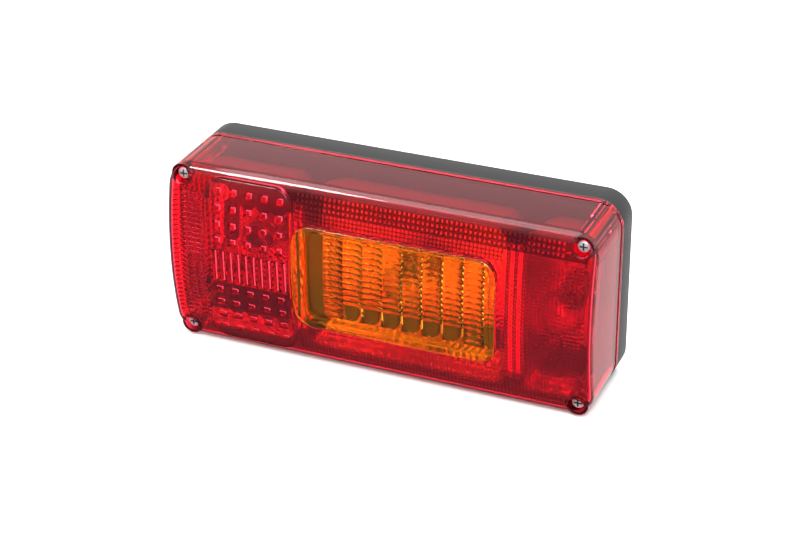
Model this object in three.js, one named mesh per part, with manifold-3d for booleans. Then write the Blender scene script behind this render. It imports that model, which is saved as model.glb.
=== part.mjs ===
// Rear combination lamp for a trailer: a black housing on two mounting bolts, a deep red lens cover
// with an amber and a red insert, and three bayonet bulbs in silvered bowls behind them.
//
// Everything is drawn in the lamp's own axes: x to the right and y up as seen from the front, and z out
// of the mounting face towards the viewer. The lamp group at the end turns z to face -Y, so in the
// finished model +Z is up and the origin is the middle of the mounting face. All sizes are millimetres.

import * as THREE from 'three';
import { ParametricGeometry } from 'three/addons/geometries/ParametricGeometry.js';
import { mergeVertices } from 'three/addons/utils/BufferGeometryUtils.js';
import Module from 'manifold-3d';

const wasm = await Module();
wasm.setup();

// ---------------------------------------------------------------- driving dimensions

const FIT = 0.3; // gap wherever two pieces meet

// outside of the lamp
const WIDTH = 240;
const HEIGHT = 106;
const CORNER_R = 14;
const BASE_DEPTH = 14.5; // mounting face to the rim of the housing
const FRONT_DEPTH = 62; // mounting face to the crown of the lens
const FRONT_R = 178; // radius of the crowned front, about the width axis
const EDGE_R = 5; // rounding between the front and the side walls
const LENS_WALL = 2.5;
const FLANGE_HEIGHT = 3; // thicker foot of the lens wall
const FLANGE_STEP = 0.5;

// housing
const FLOOR = 2.5;
const LIP = 1; // outer edge of the gasket groove
const GROOVE_DEPTH = 2;
const SPIGOT_WALL = 1.8; // upright wall that locates the lens from inside
const SPIGOT_RISE = 5.5; // above the rim
const BACK_POCKET = 1; // relief between the ribs of the mounting face
const BACK_RIB = 4;
const BACK_BORDER = 8;

// lens screws
const SCREW_INSET_X = 9; // from the side of the lamp to a screw's axis
const SCREW_INSET_Y = 7.8; // from its top or bottom
const SCREW_R = 1.95;
const SCREW_HEAD_R = 3.5;
const SCREW_HEAD_HEIGHT = 2.4;
const SCREW_TIP_CLEARANCE = 3; // left under the tip of a tight screw
const WELL_R = 4.6;
const WELL_DEPTH = 6.7; // below the front surface beside the screw
const POST_WALL = 1.6;
const BOSS_R = 5.5;
const SEAL_HEIGHT = 0.8;

// inserts
const AMBER_TOP = 30.3;
const AMBER_BOTTOM = -29.1;
const AMBER_R = 10.5;
const AMBER_PAST_LEFT = 1.5; // beyond the left edge of the middle bowl
const AMBER_SHORT_RIGHT = 3; // short of its right edge
const AMBER_RIM = { left: 7.5, right: 3.2, top: 2.3, bottom: 4.5 }; // round the sunk middle
const AMBER_SIGHT_R = 6;
const AMBER_SINK = 2;
const RED_INSERT_SHORT_LEFT = 19.5; // short of the left edge of the left bowl
const RED_INSERT_PAST_RIGHT = 2.1; // beyond its right edge
const RED_INSERT_INSET_Y = 5.5; // from the top and bottom of the lamp
const RED_INSERT_R = 9;

// bulbs, sockets and reflectors
const BOWL_MARGIN_X = 4; // between the outside of the lamp and the mouths of the bowls
const BOWL_MARGIN_Y = 7;
const LEFT_BOWL_WIDTH = 67;
const RIGHT_BOWL_WIDTH = 38;
const LEFT_BOWL_GAP = 5; // between the left and middle bowls
const RIGHT_BOWL_GAP = 7;
const BOWL_R = 8;
const BOWL_MOUTH = 48; // height of the mouth above the mounting face
const BOWL_FLOOR = 12;
const BOWL_WALL = 1.5;
const BOWL_TAPER_X = 6;
const BOWL_TAPER_Y = 10;
const PEG_R = 3;
const PEG_Y = 28;
const STRIP_THICKNESS = 0.8;
const STRIP_WIDTH = 6;
const BLADE_HEIGHT = 7;
const INSULATOR_THICKNESS = 1;
const SPRING_HEIGHT = 3.6;
const SPRING_R = 2.9;
const SPRING_WIRE_R = 0.3;
const SPRING_TURNS = 2.5;
const BUTTON_R = 4.4;
const BUTTON_HEIGHT = 1.2;
const SOCKET_BORE_R = 7.9;
const SOCKET_WALL = 0.7;
const SOCKET_TOP = 23;
const PUSH = 2; // travel of the bulb against the spring
const TWIST = (20 * Math.PI) / 180; // turn of the bulb in its socket
const PIN_R = 1;
const PIN_RISE = 6.6; // bayonet pins above the bottom of the cap
const PIN_REACH = 8.9; // from the bulb's axis to the end of a pin
const BULB_LENGTH = 44;
const TIP_HEIGHT = 1.2;
const TIP_R = 3.6;
const CAP_R = 7.5;
const CAP_LENGTH = 16.2;
const CAP_WALL = 0.5;
const GLASS_R = 12;
const GLASS_NECK_R = 6.6;
const GLASS_WALL = 0.7;
const FILAMENT_RISE = 27; // above the bottom of the cap
const FILAMENT_HALF = 3.4;
const WIRE_R = 0.35;

// mounting bolts and cable entry
const BOLT_X = 45;
const BOLT_R = 3;
const BOLT_REACH = 20; // behind the mounting face
const BOLT_HEAD_FLATS = 10;
const BOLT_HEAD_HEIGHT = 4;
const BOLT_BOSS_R = 8.5;
const BOLT_BOSS_RISE = 4.5;
const NUT_HEIGHT = 5;
const WASHER_R = 6.25;
const WASHER_THICKNESS = 1.2;
const GROMMET_Y = -30;
const GROMMET_HOLE_R = 7;
const GROMMET_FLANGE_R = 9.5;
const GROMMET_FLANGE = 1.5;
const GROMMET_NOSE = 8;
const GROMMET_BORE_R = 3.4;

const ROUND_SIDES = 14; // flats round a turned piece
const CORNER_STEPS = 4; // flats round a quarter turn

// ---------------------------------------------------------------- worked-out sizes

const LENS_REAR = BASE_DEPTH + FIT;
const LENS_INNER = FLANGE_STEP + LENS_WALL; // inset of the inside of the lens wall
const POST_R = WELL_R + POST_WALL;
const SCREW_X = WIDTH / 2 - SCREW_INSET_X;
const SCREW_Y = HEIGHT / 2 - SCREW_INSET_Y;
const WELL_FLOOR = frontDepth(SCREW_Y) - WELL_DEPTH;
const BOWL_HEIGHT = HEIGHT - 2 * BOWL_MARGIN_Y;
const SCREWS = [
  { corner: 'top_left', x: -SCREW_X, y: SCREW_Y },
  { corner: 'top_right', x: SCREW_X, y: SCREW_Y },
  { corner: 'bottom_left', x: -SCREW_X, y: -SCREW_Y },
  { corner: 'bottom_right', x: SCREW_X, y: -SCREW_Y },
];
const BOWL_END = WIDTH / 2 - BOWL_MARGIN_X;
const LEFT_BOWL_TO = LEFT_BOWL_WIDTH - BOWL_END;
const RIGHT_BOWL_FROM = BOWL_END - RIGHT_BOWL_WIDTH;
const BOWLS = [
  { side: 'left', from: -BOWL_END, to: LEFT_BOWL_TO },
  { side: 'middle', from: LEFT_BOWL_TO + LEFT_BOWL_GAP, to: RIGHT_BOWL_FROM - RIGHT_BOWL_GAP },
  { side: 'right', from: RIGHT_BOWL_FROM, to: BOWL_END },
].map((bowl) => ({ ...bowl, x: (bowl.from + bowl.to) / 2, width: bowl.to - bowl.from }));
const [LEFT_BOWL, MIDDLE_BOWL] = BOWLS;
const AMBER = {
  left: MIDDLE_BOWL.from - AMBER_PAST_LEFT,
  right: MIDDLE_BOWL.to - AMBER_SHORT_RIGHT,
  bottom: AMBER_BOTTOM,
  top: AMBER_TOP,
  radius: AMBER_R,
};
const AMBER_SIGHT = {
  left: AMBER.left + AMBER_RIM.left,
  right: AMBER.right - AMBER_RIM.right,
  bottom: AMBER.bottom + AMBER_RIM.bottom,
  top: AMBER.top - AMBER_RIM.top,
  radius: AMBER_SIGHT_R,
};
const RED_INSERT = {
  left: LEFT_BOWL.from + RED_INSERT_SHORT_LEFT,
  right: LEFT_BOWL.to + RED_INSERT_PAST_RIGHT,
  bottom: RED_INSERT_INSET_Y - HEIGHT / 2,
  top: HEIGHT / 2 - RED_INSERT_INSET_Y,
  radius: RED_INSERT_R,
};
const BOLTS = [{ side: 'left', x: -BOLT_X }, { side: 'right', x: BOLT_X }];

// each bulb's stack, from the floor of the housing outwards
const STRIP_Z = FLOOR + FIT;
const INSULATOR_Z = STRIP_Z + STRIP_THICKNESS + FIT;
const SOCKET_Z = INSULATOR_Z + INSULATOR_THICKNESS + FIT;
const SOCKET_R = SOCKET_BORE_R + SOCKET_WALL;
const BUTTON_Z = INSULATOR_Z + SPRING_HEIGHT + FIT;
const TIP_Z = BUTTON_Z + BUTTON_HEIGHT + FIT;
const CAP_Z = TIP_Z + TIP_HEIGHT + FIT;
const PIN_Z = CAP_Z + PIN_RISE;
const EAR_REACH = SOCKET_R + 8;

// ---------------------------------------------------------------- shapes

/** Height of the crowned front above the mounting face, `under` millimetres below its skin. */
function frontDepth(y, under = 0) {
  return FRONT_DEPTH - FRONT_R + Math.sqrt((FRONT_R - under) ** 2 - y * y);
}

/** A closed geometry as a manifold solid; triangles that a pole squeezes to nothing are left out. */
function solid(geometry) {
  const bare = geometry.index ? geometry.toNonIndexed() : geometry.clone();
  ['normal', 'uv'].forEach((name) => bare.deleteAttribute(name));
  const merged = mergeVertices(bare, 1e-4);
  const corners = merged.index.array;
  const triVerts = [];
  for (let i = 0; i < corners.length; i += 3) {
    const [a, b, c] = [corners[i], corners[i + 1], corners[i + 2]];
    if (a !== b && b !== c && c !== a) triVerts.push(a, b, c);
  }
  const skin = {
    numProp: 3,
    vertProperties: Float32Array.from(merged.attributes.position.array),
    triVerts: Uint32Array.from(triVerts),
  };
  return new wasm.Manifold(new wasm.Mesh(skin));
}

/** A solid's surface as a geometry. */
function surface(manifold) {
  const { vertProperties, triVerts } = manifold.getMesh();
  const geometry = new THREE.BufferGeometry();
  geometry.setAttribute('position', new THREE.BufferAttribute(vertProperties, 3));
  geometry.setIndex(new THREE.BufferAttribute(triVerts, 1));
  return geometry;
}

/** All the given solids joined into one. */
function join(first, ...others) {
  return others.reduce((whole, other) => whole.add(other), first);
}

/** The first solid with all the others cut away. */
function cut(first, ...others) {
  return others.reduce((rest, other) => rest.subtract(other), first);
}

/** Rectangle with rounded corners. */
function roundedRectangle({ left, right, bottom, top, radius }) {
  const shape = new THREE.Shape();
  shape.absarc(right - radius, top - radius, radius, 0, Math.PI / 2);
  shape.absarc(left + radius, top - radius, radius, Math.PI / 2, Math.PI);
  shape.absarc(left + radius, bottom + radius, radius, Math.PI, 1.5 * Math.PI);
  shape.absarc(right - radius, bottom + radius, radius, 1.5 * Math.PI, 2 * Math.PI);
  shape.closePath();
  return shape;
}

/** The lamp's outline, `inset` millimetres inside its outer edge. */
function lampOutline(inset) {
  const [right, top] = [WIDTH / 2 - inset, HEIGHT / 2 - inset];
  return roundedRectangle({ left: -right, right, bottom: -top, top, radius: CORNER_R - inset });
}

/** An outline grown by `gap` all round. */
function grown({ left, right, bottom, top, radius }, gap) {
  const upright = { bottom: bottom - gap, top: top + gap };
  return { left: left - gap, right: right + gap, ...upright, radius: radius + gap };
}

/** A flat shape pushed out from height z0 to z1. */
function prism(shape, z0, z1) {
  const options = { depth: z1 - z0, bevelEnabled: false, curveSegments: CORNER_STEPS };
  return solid(new THREE.ExtrudeGeometry(shape, options).translate(0, 0, z0));
}

/** A wall that follows the lamp's outline between two insets. */
function ringWall(outerInset, innerInset, z0, z1) {
  return cut(prism(lampOutline(outerInset), z0, z1), prism(lampOutline(innerInset), z0 - 1, z1 + 1));
}

/** A box between two corners. */
function block(x0, x1, y0, y1, z0, z1) {
  const box = new THREE.BoxGeometry(x1 - x0, y1 - y0, z1 - z0);
  return solid(box.translate((x0 + x1) / 2, (y0 + y1) / 2, (z0 + z1) / 2));
}

/** A round bar along z. */
function rod(radius, z0, z1, x = 0, y = 0, sides = ROUND_SIDES) {
  const bar = new THREE.CylinderGeometry(radius, radius, z1 - z0, sides).rotateX(Math.PI / 2);
  return solid(bar.translate(x, y, (z0 + z1) / 2));
}

/** A hexagonal bar along z, measured across its flats. */
function hexBar(flats, z0, z1, x = 0, y = 0) {
  return rod(flats / Math.sqrt(3), z0, z1, x, y, 6);
}

/** A body turned about z from a profile of [radius, height] points, listed anticlockwise. */
function turned(profile, sides = ROUND_SIDES) {
  const points = profile.map(([radius, z]) => new THREE.Vector2(radius, z));
  return solid(new THREE.LatheGeometry(points, sides).rotateX(Math.PI / 2));
}

/** Profile of a flat ring, for turned(). */
function ringProfile(inner, outer, z0, z1) {
  return [[inner, z0], [outer, z0], [outer, z1], [inner, z1], [inner, z0]];
}

/** Points round a rounded rectangle: the centre each one is drawn from, and its direction outwards. */
function rimPoints(width, height, radius, uprightSteps = 1, cornerSteps = CORNER_STEPS) {
  const [halfX, halfY] = [width / 2 - radius, height / 2 - radius];
  const points = [];
  [[1, 1], [-1, 1], [-1, -1], [1, -1]].forEach(([sideX, sideY], quarter) => {
    for (let i = 0; i <= cornerSteps; i += 1) {
      const angle = ((quarter + i / cornerSteps) * Math.PI) / 2;
      points.push({ x: sideX * halfX, y: sideY * halfY, dx: Math.cos(angle), dy: Math.sin(angle) });
    }
    const startsUpright = quarter % 2 === 1;
    for (let i = 1; startsUpright && i < uprightSteps; i += 1) {
      const y = sideY * halfY * (1 - (2 * i) / uprightSteps);
      points.push({ x: sideX * halfX, y, dx: sideX, dy: 0 });
    }
  });
  return points;
}

/** A closed skin through rings; each ring turns a rim point into a place, and the end rings are poles. */
function loft(points, rings) {
  const place = (u, v, target) => {
    const point = points[Math.round(u * points.length) % points.length];
    target.set(...rings[Math.round(v * (rings.length - 1))](point));
  };
  return solid(new ParametricGeometry(place, points.length, rings.length - 1));
}

/** The crowned box that bounds the lens, `inset` inside its walls and `under` below its front skin. */
function crownedBox({ inset, under, rear, edge, flange = 0 }) {
  const points = rimPoints(WIDTH, HEIGHT, CORNER_R, 6);
  const atInset = ({ x, y, dx, dy }, depth) => [x + dx * (CORNER_R - depth), y + dy * (CORNER_R - depth)];
  const flat = (depth, z) => (point) => [...atInset(point, depth), z];
  const rounded = (angle) => (point) => {
    const [x, y] = atInset(point, inset + edge * (1 - Math.sin(angle)));
    return [x, y, frontDepth(y, under) - edge * (1 - Math.cos(angle))];
  };
  const crown = (share) => (point) => {
    const [x, y] = atInset(point, inset + edge).map((value) => value * share);
    return [x, y, frontDepth(y, under)];
  };
  const shoulder = rear + FLANGE_HEIGHT;
  const outer = inset - flange;
  const flanged = [flat(outer, rear), flat(outer, shoulder), flat(inset, shoulder + flange)];
  const foot = flange ? flanged : [flat(inset, rear)];
  const edgeRings = [3, 2, 1].map((step) => rounded((step / 3) * (Math.PI / 2)));
  const crownRings = [1, 0.66, 0.33, 0].map(crown);
  return loft(points, [() => [0, 0, rear], ...foot, ...edgeRings, ...crownRings]);
}

/** A slice of the crowned front between two depths below its skin, cut to an outline. */
function crownedPlate(outline, under, thickness) {
  const reach = Math.asin((HEIGHT / 2 + 1) / FRONT_R);
  const profile = new THREE.Shape();
  const centre = FRONT_DEPTH - FRONT_R;
  profile.absarc(0, centre, FRONT_R - under, Math.PI / 2 - reach, Math.PI / 2 + reach, false);
  profile.absarc(0, centre, FRONT_R - under - thickness, Math.PI / 2 + reach, Math.PI / 2 - reach, true);
  profile.closePath();
  const slab = new THREE.ExtrudeGeometry(profile, { depth: WIDTH, bevelEnabled: false, curveSegments: 12 });
  slab.translate(0, 0, -WIDTH / 2);
  const [across, up, out] = [[1, 0, 0], [0, 1, 0], [0, 0, 1]].map((axis) => new THREE.Vector3(...axis));
  slab.applyMatrix4(new THREE.Matrix4().makeBasis(up, out, across));
  return prism(roundedRectangle(outline), 0, FRONT_DEPTH + 1).intersect(solid(slab));
}

/** Round wire along a curve. */
function wire(curve, radius, steps, sides = 6) {
  const section = new THREE.Shape();
  for (let i = 0; i < sides; i += 1) {
    const angle = (2 * Math.PI * i) / sides;
    const [x, y] = [radius * Math.cos(angle), radius * Math.sin(angle)];
    if (i === 0) section.moveTo(x, y);
    else section.lineTo(x, y);
  }
  section.closePath();
  return solid(new THREE.ExtrudeGeometry(section, { steps, extrudePath: curve, bevelEnabled: false }));
}

/** Coil along z whose end turns lie flat. */
class Coil extends THREE.Curve {
  constructor(radius, turns, z0, z1) {
    super();
    Object.assign(this, { radius, turns, z0, z1 });
  }

  getPoint(t, target = new THREE.Vector3()) {
    const angle = 2 * Math.PI * this.turns * t;
    const z = this.z0 + (this.z1 - this.z0) * THREE.MathUtils.smoothstep(t, 0, 1);
    return target.set(this.radius * Math.cos(angle), this.radius * Math.sin(angle), z);
  }
}

// ---------------------------------------------------------------- finishes

const FINISHES = {
  blackAbs: { color: 0x2b2d2f, roughness: 0.55, metalness: 0 },
  redPmma: { color: 0xb0101c, roughness: 0.12, metalness: 0 },
  amberPmma: { color: 0xf08a10, roughness: 0.12, metalness: 0 },
  silvered: { color: 0xd8dadc, roughness: 0.15, metalness: 1 },
  rubber: { color: 0x1c1c1c, roughness: 0.85, metalness: 0 },
  zincSteel: { color: 0xc4c8cc, roughness: 0.3, metalness: 1 },
  brass: { color: 0xc8a355, roughness: 0.35, metalness: 1 },
  nickel: { color: 0xb8b4a8, roughness: 0.3, metalness: 1 },
  glass: { color: 0xeef2f4, roughness: 0.05, metalness: 0 },
  solder: { color: 0x9da0a4, roughness: 0.45, metalness: 1 },
  tungsten: { color: 0x6a6c70, roughness: 0.5, metalness: 1 },
  springSteel: { color: 0x8f9296, roughness: 0.35, metalness: 1 },
  phenolic: { color: 0x6b4a2c, roughness: 0.7, metalness: 0 },
};

const lamp = new THREE.Group();
lamp.rotation.x = Math.PI / 2;

/** Adds one piece to a group as a named mesh. */
function addPiece(parent, name, finish, manifold) {
  const mesh = new THREE.Mesh(surface(manifold), new THREE.MeshStandardMaterial(FINISHES[finish]));
  mesh.name = name;
  parent.add(mesh);
}

/** A group at a place on the lamp, for pieces that are drawn about their own axis. */
function groupAt(x, y = 0) {
  const group = new THREE.Group();
  group.position.set(x, y, 0);
  lamp.add(group);
  return group;
}

// ---------------------------------------------------------------- housing and gasket

/** Shallow reliefs in the mounting face that leave a border, ribs and pads round the fasteners. */
function backReliefs() {
  const columns = 4;
  const width = (WIDTH - 2 * BACK_BORDER - (columns - 1) * BACK_RIB) / columns;
  const height = (HEIGHT - 2 * BACK_BORDER - BACK_RIB) / 2;
  const reliefs = [];
  for (let column = 0; column < columns; column += 1) {
    const left = -WIDTH / 2 + BACK_BORDER + column * (width + BACK_RIB);
    [-BACK_RIB / 2 - height, BACK_RIB / 2].forEach((bottom) => {
      const relief = { left, right: left + width, bottom, top: bottom + height, radius: BACK_RIB };
      reliefs.push(prism(roundedRectangle(relief), -1, BACK_POCKET));
    });
  }
  const pads = [
    ...BOLTS.map(({ x }) => rod(BOLT_BOSS_R, -2, BACK_POCKET + 1, x)),
    rod(GROMMET_FLANGE_R + 2, -2, BACK_POCKET + 1, 0, GROMMET_Y),
  ];
  return cut(join(...reliefs), ...pads);
}

function housing() {
  const spigotInset = LENS_INNER + FIT;
  const shell = cut(
    prism(lampOutline(0), 0, BASE_DEPTH),
    prism(lampOutline(spigotInset), FLOOR, BASE_DEPTH + 1),
  );
  const spigot = cut(
    ringWall(spigotInset, spigotInset + SPIGOT_WALL, FLOOR - 1, BASE_DEPTH + SPIGOT_RISE),
    ...SCREWS.map(({ x, y }) => rod(POST_R + FIT, BASE_DEPTH, BASE_DEPTH + SPIGOT_RISE + 1, x, y)),
  );
  const bosses = SCREWS.map(({ x, y }) => rod(BOSS_R, FLOOR - 1, BASE_DEPTH, x, y));
  const boltBosses = BOLTS.map(({ x }) => rod(BOLT_BOSS_R, FLOOR - 1, FLOOR + BOLT_BOSS_RISE, x));
  const pegs = BOWLS.flatMap(({ x }) => (
    [-PEG_Y, PEG_Y].map((y) => rod(PEG_R, FLOOR - 1, BOWL_FLOOR - FIT, x, y))
  ));
  return cut(
    join(shell, spigot, ...bosses, ...boltBosses, ...pegs),
    ringWall(LIP, spigotInset, BASE_DEPTH - GROOVE_DEPTH, BASE_DEPTH + 1),
    ...SCREWS.map(({ x, y }) => rod(SCREW_R + FIT, FLOOR + 1, BASE_DEPTH + 1, x, y, 12)),
    ...BOLTS.map(({ x }) => rod(BOLT_R + FIT, -1, FLOOR + 1, x)),
    ...BOLTS.map(({ x }) => hexBar(BOLT_HEAD_FLATS + 2 * FIT, FLOOR, FLOOR + BOLT_BOSS_RISE + 1, x)),
    rod(GROMMET_HOLE_R, -1, FLOOR + 1, 0, GROMMET_Y),
    backReliefs(),
  );
}

addPiece(lamp, 'base_housing', 'blackAbs', housing());
addPiece(lamp, 'lens_seal', 'rubber', ringWall(
  LIP + FIT,
  LENS_INNER,
  BASE_DEPTH - GROOVE_DEPTH + FIT,
  BASE_DEPTH,
));

// ---------------------------------------------------------------- lens

function lensCover() {
  const outside = { inset: FLANGE_STEP, under: 0, edge: EDGE_R, flange: FLANGE_STEP };
  const inside = { inset: LENS_INNER, under: LENS_WALL, edge: Math.max(EDGE_R - LENS_WALL, 1) };
  const hood = crownedBox({ ...outside, rear: LENS_REAR });
  const hollow = crownedBox({ ...inside, rear: LENS_REAR - 1 });
  const posts = SCREWS.map(({ x, y }) => rod(POST_R, LENS_REAR, FRONT_DEPTH, x, y).intersect(hood));
  return cut(
    join(cut(hood, hollow), ...posts),
    ...SCREWS.map(({ x, y }) => rod(WELL_R, WELL_FLOOR, FRONT_DEPTH, x, y)),
    ...SCREWS.map(({ x, y }) => rod(SCREW_R + 2 * FIT, LENS_REAR - 1, WELL_FLOOR + 1, x, y, 12)),
    ...[AMBER, RED_INSERT].map((insert) => (
      prism(roundedRectangle(grown(insert, FIT)), FRONT_DEPTH / 2, FRONT_DEPTH + 1)
    )),
  );
}

addPiece(lamp, 'lens_cover', 'redPmma', lensCover());
addPiece(lamp, 'amber_lens', 'amberPmma', cut(
  crownedPlate(AMBER, 0, LENS_WALL + AMBER_SINK),
  crownedPlate(AMBER_SIGHT, -1, AMBER_SINK + 1),
));
addPiece(lamp, 'red_insert_lens', 'redPmma', crownedPlate(RED_INSERT, 0, LENS_WALL));

// ---------------------------------------------------------------- lens screws and their seals

/** Pan-head screw with a cross recess, drawn about its own axis. */
function lensScrew() {
  const seat = WELL_FLOOR + SEAL_HEIGHT + 2 * FIT;
  const tip = FLOOR + SCREW_TIP_CLEARANCE;
  const top = seat + SCREW_HEAD_HEIGHT;
  const body = turned([
    [0, tip],
    [SCREW_R, tip + SCREW_R],
    [SCREW_R, seat],
    [SCREW_HEAD_R, seat],
    [SCREW_HEAD_R, seat + SCREW_HEAD_HEIGHT * 0.5],
    [SCREW_HEAD_R * 0.8, top - SCREW_HEAD_HEIGHT * 0.15],
    [0, top],
  ]);
  const arm = SCREW_HEAD_R * 0.6;
  const half = SCREW_HEAD_R * 0.13;
  const bottom = top - SCREW_HEAD_HEIGHT * 0.6;
  const slots = [[arm, half], [half, arm]].map(([reachX, reachY]) => (
    block(-reachX, reachX, -reachY, reachY, bottom, top + 1)
  ));
  return cut(body, ...slots);
}

SCREWS.forEach(({ corner, x, y }) => {
  const place = groupAt(x, y);
  const sealZ = WELL_FLOOR + FIT;
  const seal = turned(ringProfile(SCREW_R + FIT, SCREW_HEAD_R, sealZ, sealZ + SEAL_HEIGHT));
  addPiece(place, `lens_screw_${corner}`, 'zincSteel', lensScrew());
  addPiece(place, `screw_seal_${corner}`, 'rubber', seal);
});

// ---------------------------------------------------------------- reflectors

/** Silvered bowl that tapers to a floor, with a hole for the socket and room for the screw posts. */
function reflector({ x, width }) {
  const bowl = (inset, floor) => {
    const points = rimPoints(width, BOWL_HEIGHT, BOWL_R);
    const ring = (taper, z) => (point) => [
      x + point.x + point.dx * (BOWL_R - inset) - Math.sign(point.x) * BOWL_TAPER_X * taper,
      point.y + point.dy * (BOWL_R - inset) - Math.sign(point.y) * BOWL_TAPER_Y * taper,
      z,
    ];
    const rise = BOWL_MOUTH - floor;
    const walls = [1, 0.7, 0.4, 0].map((taper) => ring(taper, floor + rise * (1 - taper) ** 1.6));
    const mouth = inset ? [ring(0, BOWL_MOUTH + 1)] : [];
    const lid = inset ? BOWL_MOUTH + 1 : BOWL_MOUTH;
    return loft(points, [() => [x, 0, floor], ...walls, ...mouth, () => [x, 0, lid]]);
  };
  return cut(
    bowl(0, BOWL_FLOOR),
    bowl(BOWL_WALL, BOWL_FLOOR + BOWL_WALL),
    rod(SOCKET_R + 1, 0, BOWL_MOUTH, x),
    ...SCREWS.map((screw) => rod(POST_R + 2 * FIT, 0, BOWL_MOUTH + 1, screw.x, screw.y)),
  );
}

BOWLS.forEach((bowl) => addPiece(lamp, `reflector_${bowl.side}`, 'silvered', reflector(bowl)));

// ---------------------------------------------------------------- sockets, contacts and strips

/** Tube with two bayonet slots and an earth ear; the sideways leg also takes the push. */
function socketShell() {
  const slotHalf = PIN_R + FIT;
  const slotFloor = PIN_Z - PUSH - slotHalf;
  const slotRoof = PIN_Z + slotHalf;
  const steps = 5;
  const cutters = [0, Math.PI].flatMap((start) => {
    const legAt = (angle, roof) => {
      const leg = new THREE.BoxGeometry(SOCKET_R, 2 * slotHalf, roof - slotFloor);
      leg.translate(SOCKET_R, 0, (roof + slotFloor) / 2);
      return solid(leg.rotateZ(angle));
    };
    const angles = Array.from({ length: steps + 1 }, (_, i) => start + (TWIST * i) / steps);
    return [...angles.map((angle) => legAt(angle, slotRoof)), legAt(start + TWIST, SOCKET_TOP + 1)];
  });
  const half = STRIP_WIDTH / 2;
  const ear = block(-half, half, SOCKET_R - SOCKET_WALL / 2, EAR_REACH, SOCKET_Z, SOCKET_Z + SOCKET_WALL);
  return join(cut(turned(ringProfile(SOCKET_BORE_R, SOCKET_R, SOCKET_Z, SOCKET_TOP)), ...cutters), ear);
}

/** Flat brass strip under the spring, ending in an upright blade for the supply wire. */
function feedStrip() {
  const foot = -BOLT_BOSS_R - SOCKET_R;
  const half = STRIP_WIDTH / 2;
  return join(
    block(-half, half, foot, SPRING_R + 1, STRIP_Z, STRIP_Z + STRIP_THICKNESS),
    block(-half, half, foot, foot + STRIP_THICKNESS, STRIP_Z, STRIP_Z + BLADE_HEIGHT),
  );
}

/** Brass strip past all three sockets, with an upright tab at each ear. */
function earthStrip() {
  const near = EAR_REACH + FIT;
  const half = STRIP_WIDTH / 2;
  const [first, last] = [BOWLS[0].x, BOWLS[BOWLS.length - 1].x];
  const bar = (left, right, width, height) => (
    block(left, right, near, near + width, STRIP_Z, STRIP_Z + height)
  );
  const tabs = BOWLS.map(({ x }) => bar(x - half, x + half, STRIP_THICKNESS, BLADE_HEIGHT));
  return join(bar(first - half, last + half, STRIP_WIDTH, STRIP_THICKNESS), ...tabs);
}

/** Contact button: a disc with a shallow dish for the bulb's tip. */
function contactButton() {
  const dish = 0.4;
  return turned([
    [0, BUTTON_Z],
    [BUTTON_R, BUTTON_Z],
    [BUTTON_R, BUTTON_Z + BUTTON_HEIGHT],
    [TIP_R + FIT, BUTTON_Z + BUTTON_HEIGHT],
    [TIP_R - dish, BUTTON_Z + BUTTON_HEIGHT - dish],
    [0, BUTTON_Z + BUTTON_HEIGHT - dish],
  ]);
}

addPiece(lamp, 'earth_strip', 'brass', earthStrip());

// ---------------------------------------------------------------- bulbs

/** Brass cap: a thin cup with two bayonet pins. */
function bulbCap() {
  const inner = CAP_R - CAP_WALL;
  const cup = turned([
    [0, CAP_Z],
    [CAP_R, CAP_Z],
    [CAP_R, CAP_Z + CAP_LENGTH],
    [inner, CAP_Z + CAP_LENGTH],
    [inner, CAP_Z + 2 * CAP_WALL],
    [0, CAP_Z + 2 * CAP_WALL],
  ]);
  const pins = [0, Math.PI].map((angle) => {
    const length = PIN_REACH - inner;
    const pin = new THREE.CylinderGeometry(PIN_R, PIN_R, length, 8).rotateZ(Math.PI / 2);
    return solid(pin.translate(inner + length / 2, 0, PIN_Z).rotateZ(angle));
  });
  return join(cup, ...pins);
}

/** Pear-shaped envelope, open at the neck inside the cap. */
function bulbGlass() {
  const top = TIP_Z + BULB_LENGTH;
  const neckTop = CAP_Z + CAP_LENGTH + 1;
  const neckFoot = CAP_Z + CAP_LENGTH / 2;
  const middle = top - GLASS_R;
  const skin = (wall) => {
    const radius = GLASS_R - wall;
    const neck = GLASS_NECK_R - wall;
    const shoulder = -Math.acos(neck / radius) * 0.98;
    const arcSteps = 6;
    const ball = Array.from({ length: arcSteps + 1 }, (_, i) => {
      const angle = shoulder + ((Math.PI / 2 - shoulder) * i) / arcSteps;
      return [radius * Math.cos(angle), middle + radius * Math.sin(angle)];
    });
    ball[arcSteps][0] = 0;
    return [[neck, neckFoot], [neck, neckTop], ...ball];
  };
  return turned([...skin(0), ...skin(GLASS_WALL).reverse(), [GLASS_NECK_R, neckFoot]]);
}

/** Two support wires that rise from the cap, and the coiled filament between them, as one wire. */
function bulbFilament() {
  const foot = CAP_Z + 2 * CAP_WALL + FIT;
  const top = CAP_Z + FILAMENT_RISE;
  const spread = FILAMENT_HALF * 0.6;
  const sag = 0.5;
  const waves = 3;
  const across = Array.from({ length: 4 * waves + 1 }, (_, i) => {
    const t = i / (4 * waves);
    const angle = 2 * Math.PI * waves * t;
    const [y, z] = [sag * Math.sin(angle), top - sag * Math.cos(angle)];
    return new THREE.Vector3(FILAMENT_HALF * (2 * t - 1), y, z);
  });
  const rise = (side) => [[spread, foot], [spread, (foot + top) / 2], [FILAMENT_HALF, top - 4 * sag]]
    .map(([x, z]) => new THREE.Vector3(side * x, 0, z));
  const places = [...rise(-1), ...across, ...rise(1).reverse()];
  return wire(new THREE.CatmullRomCurve3(places, false, 'centripetal'), WIRE_R, 36, 4);
}

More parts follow.
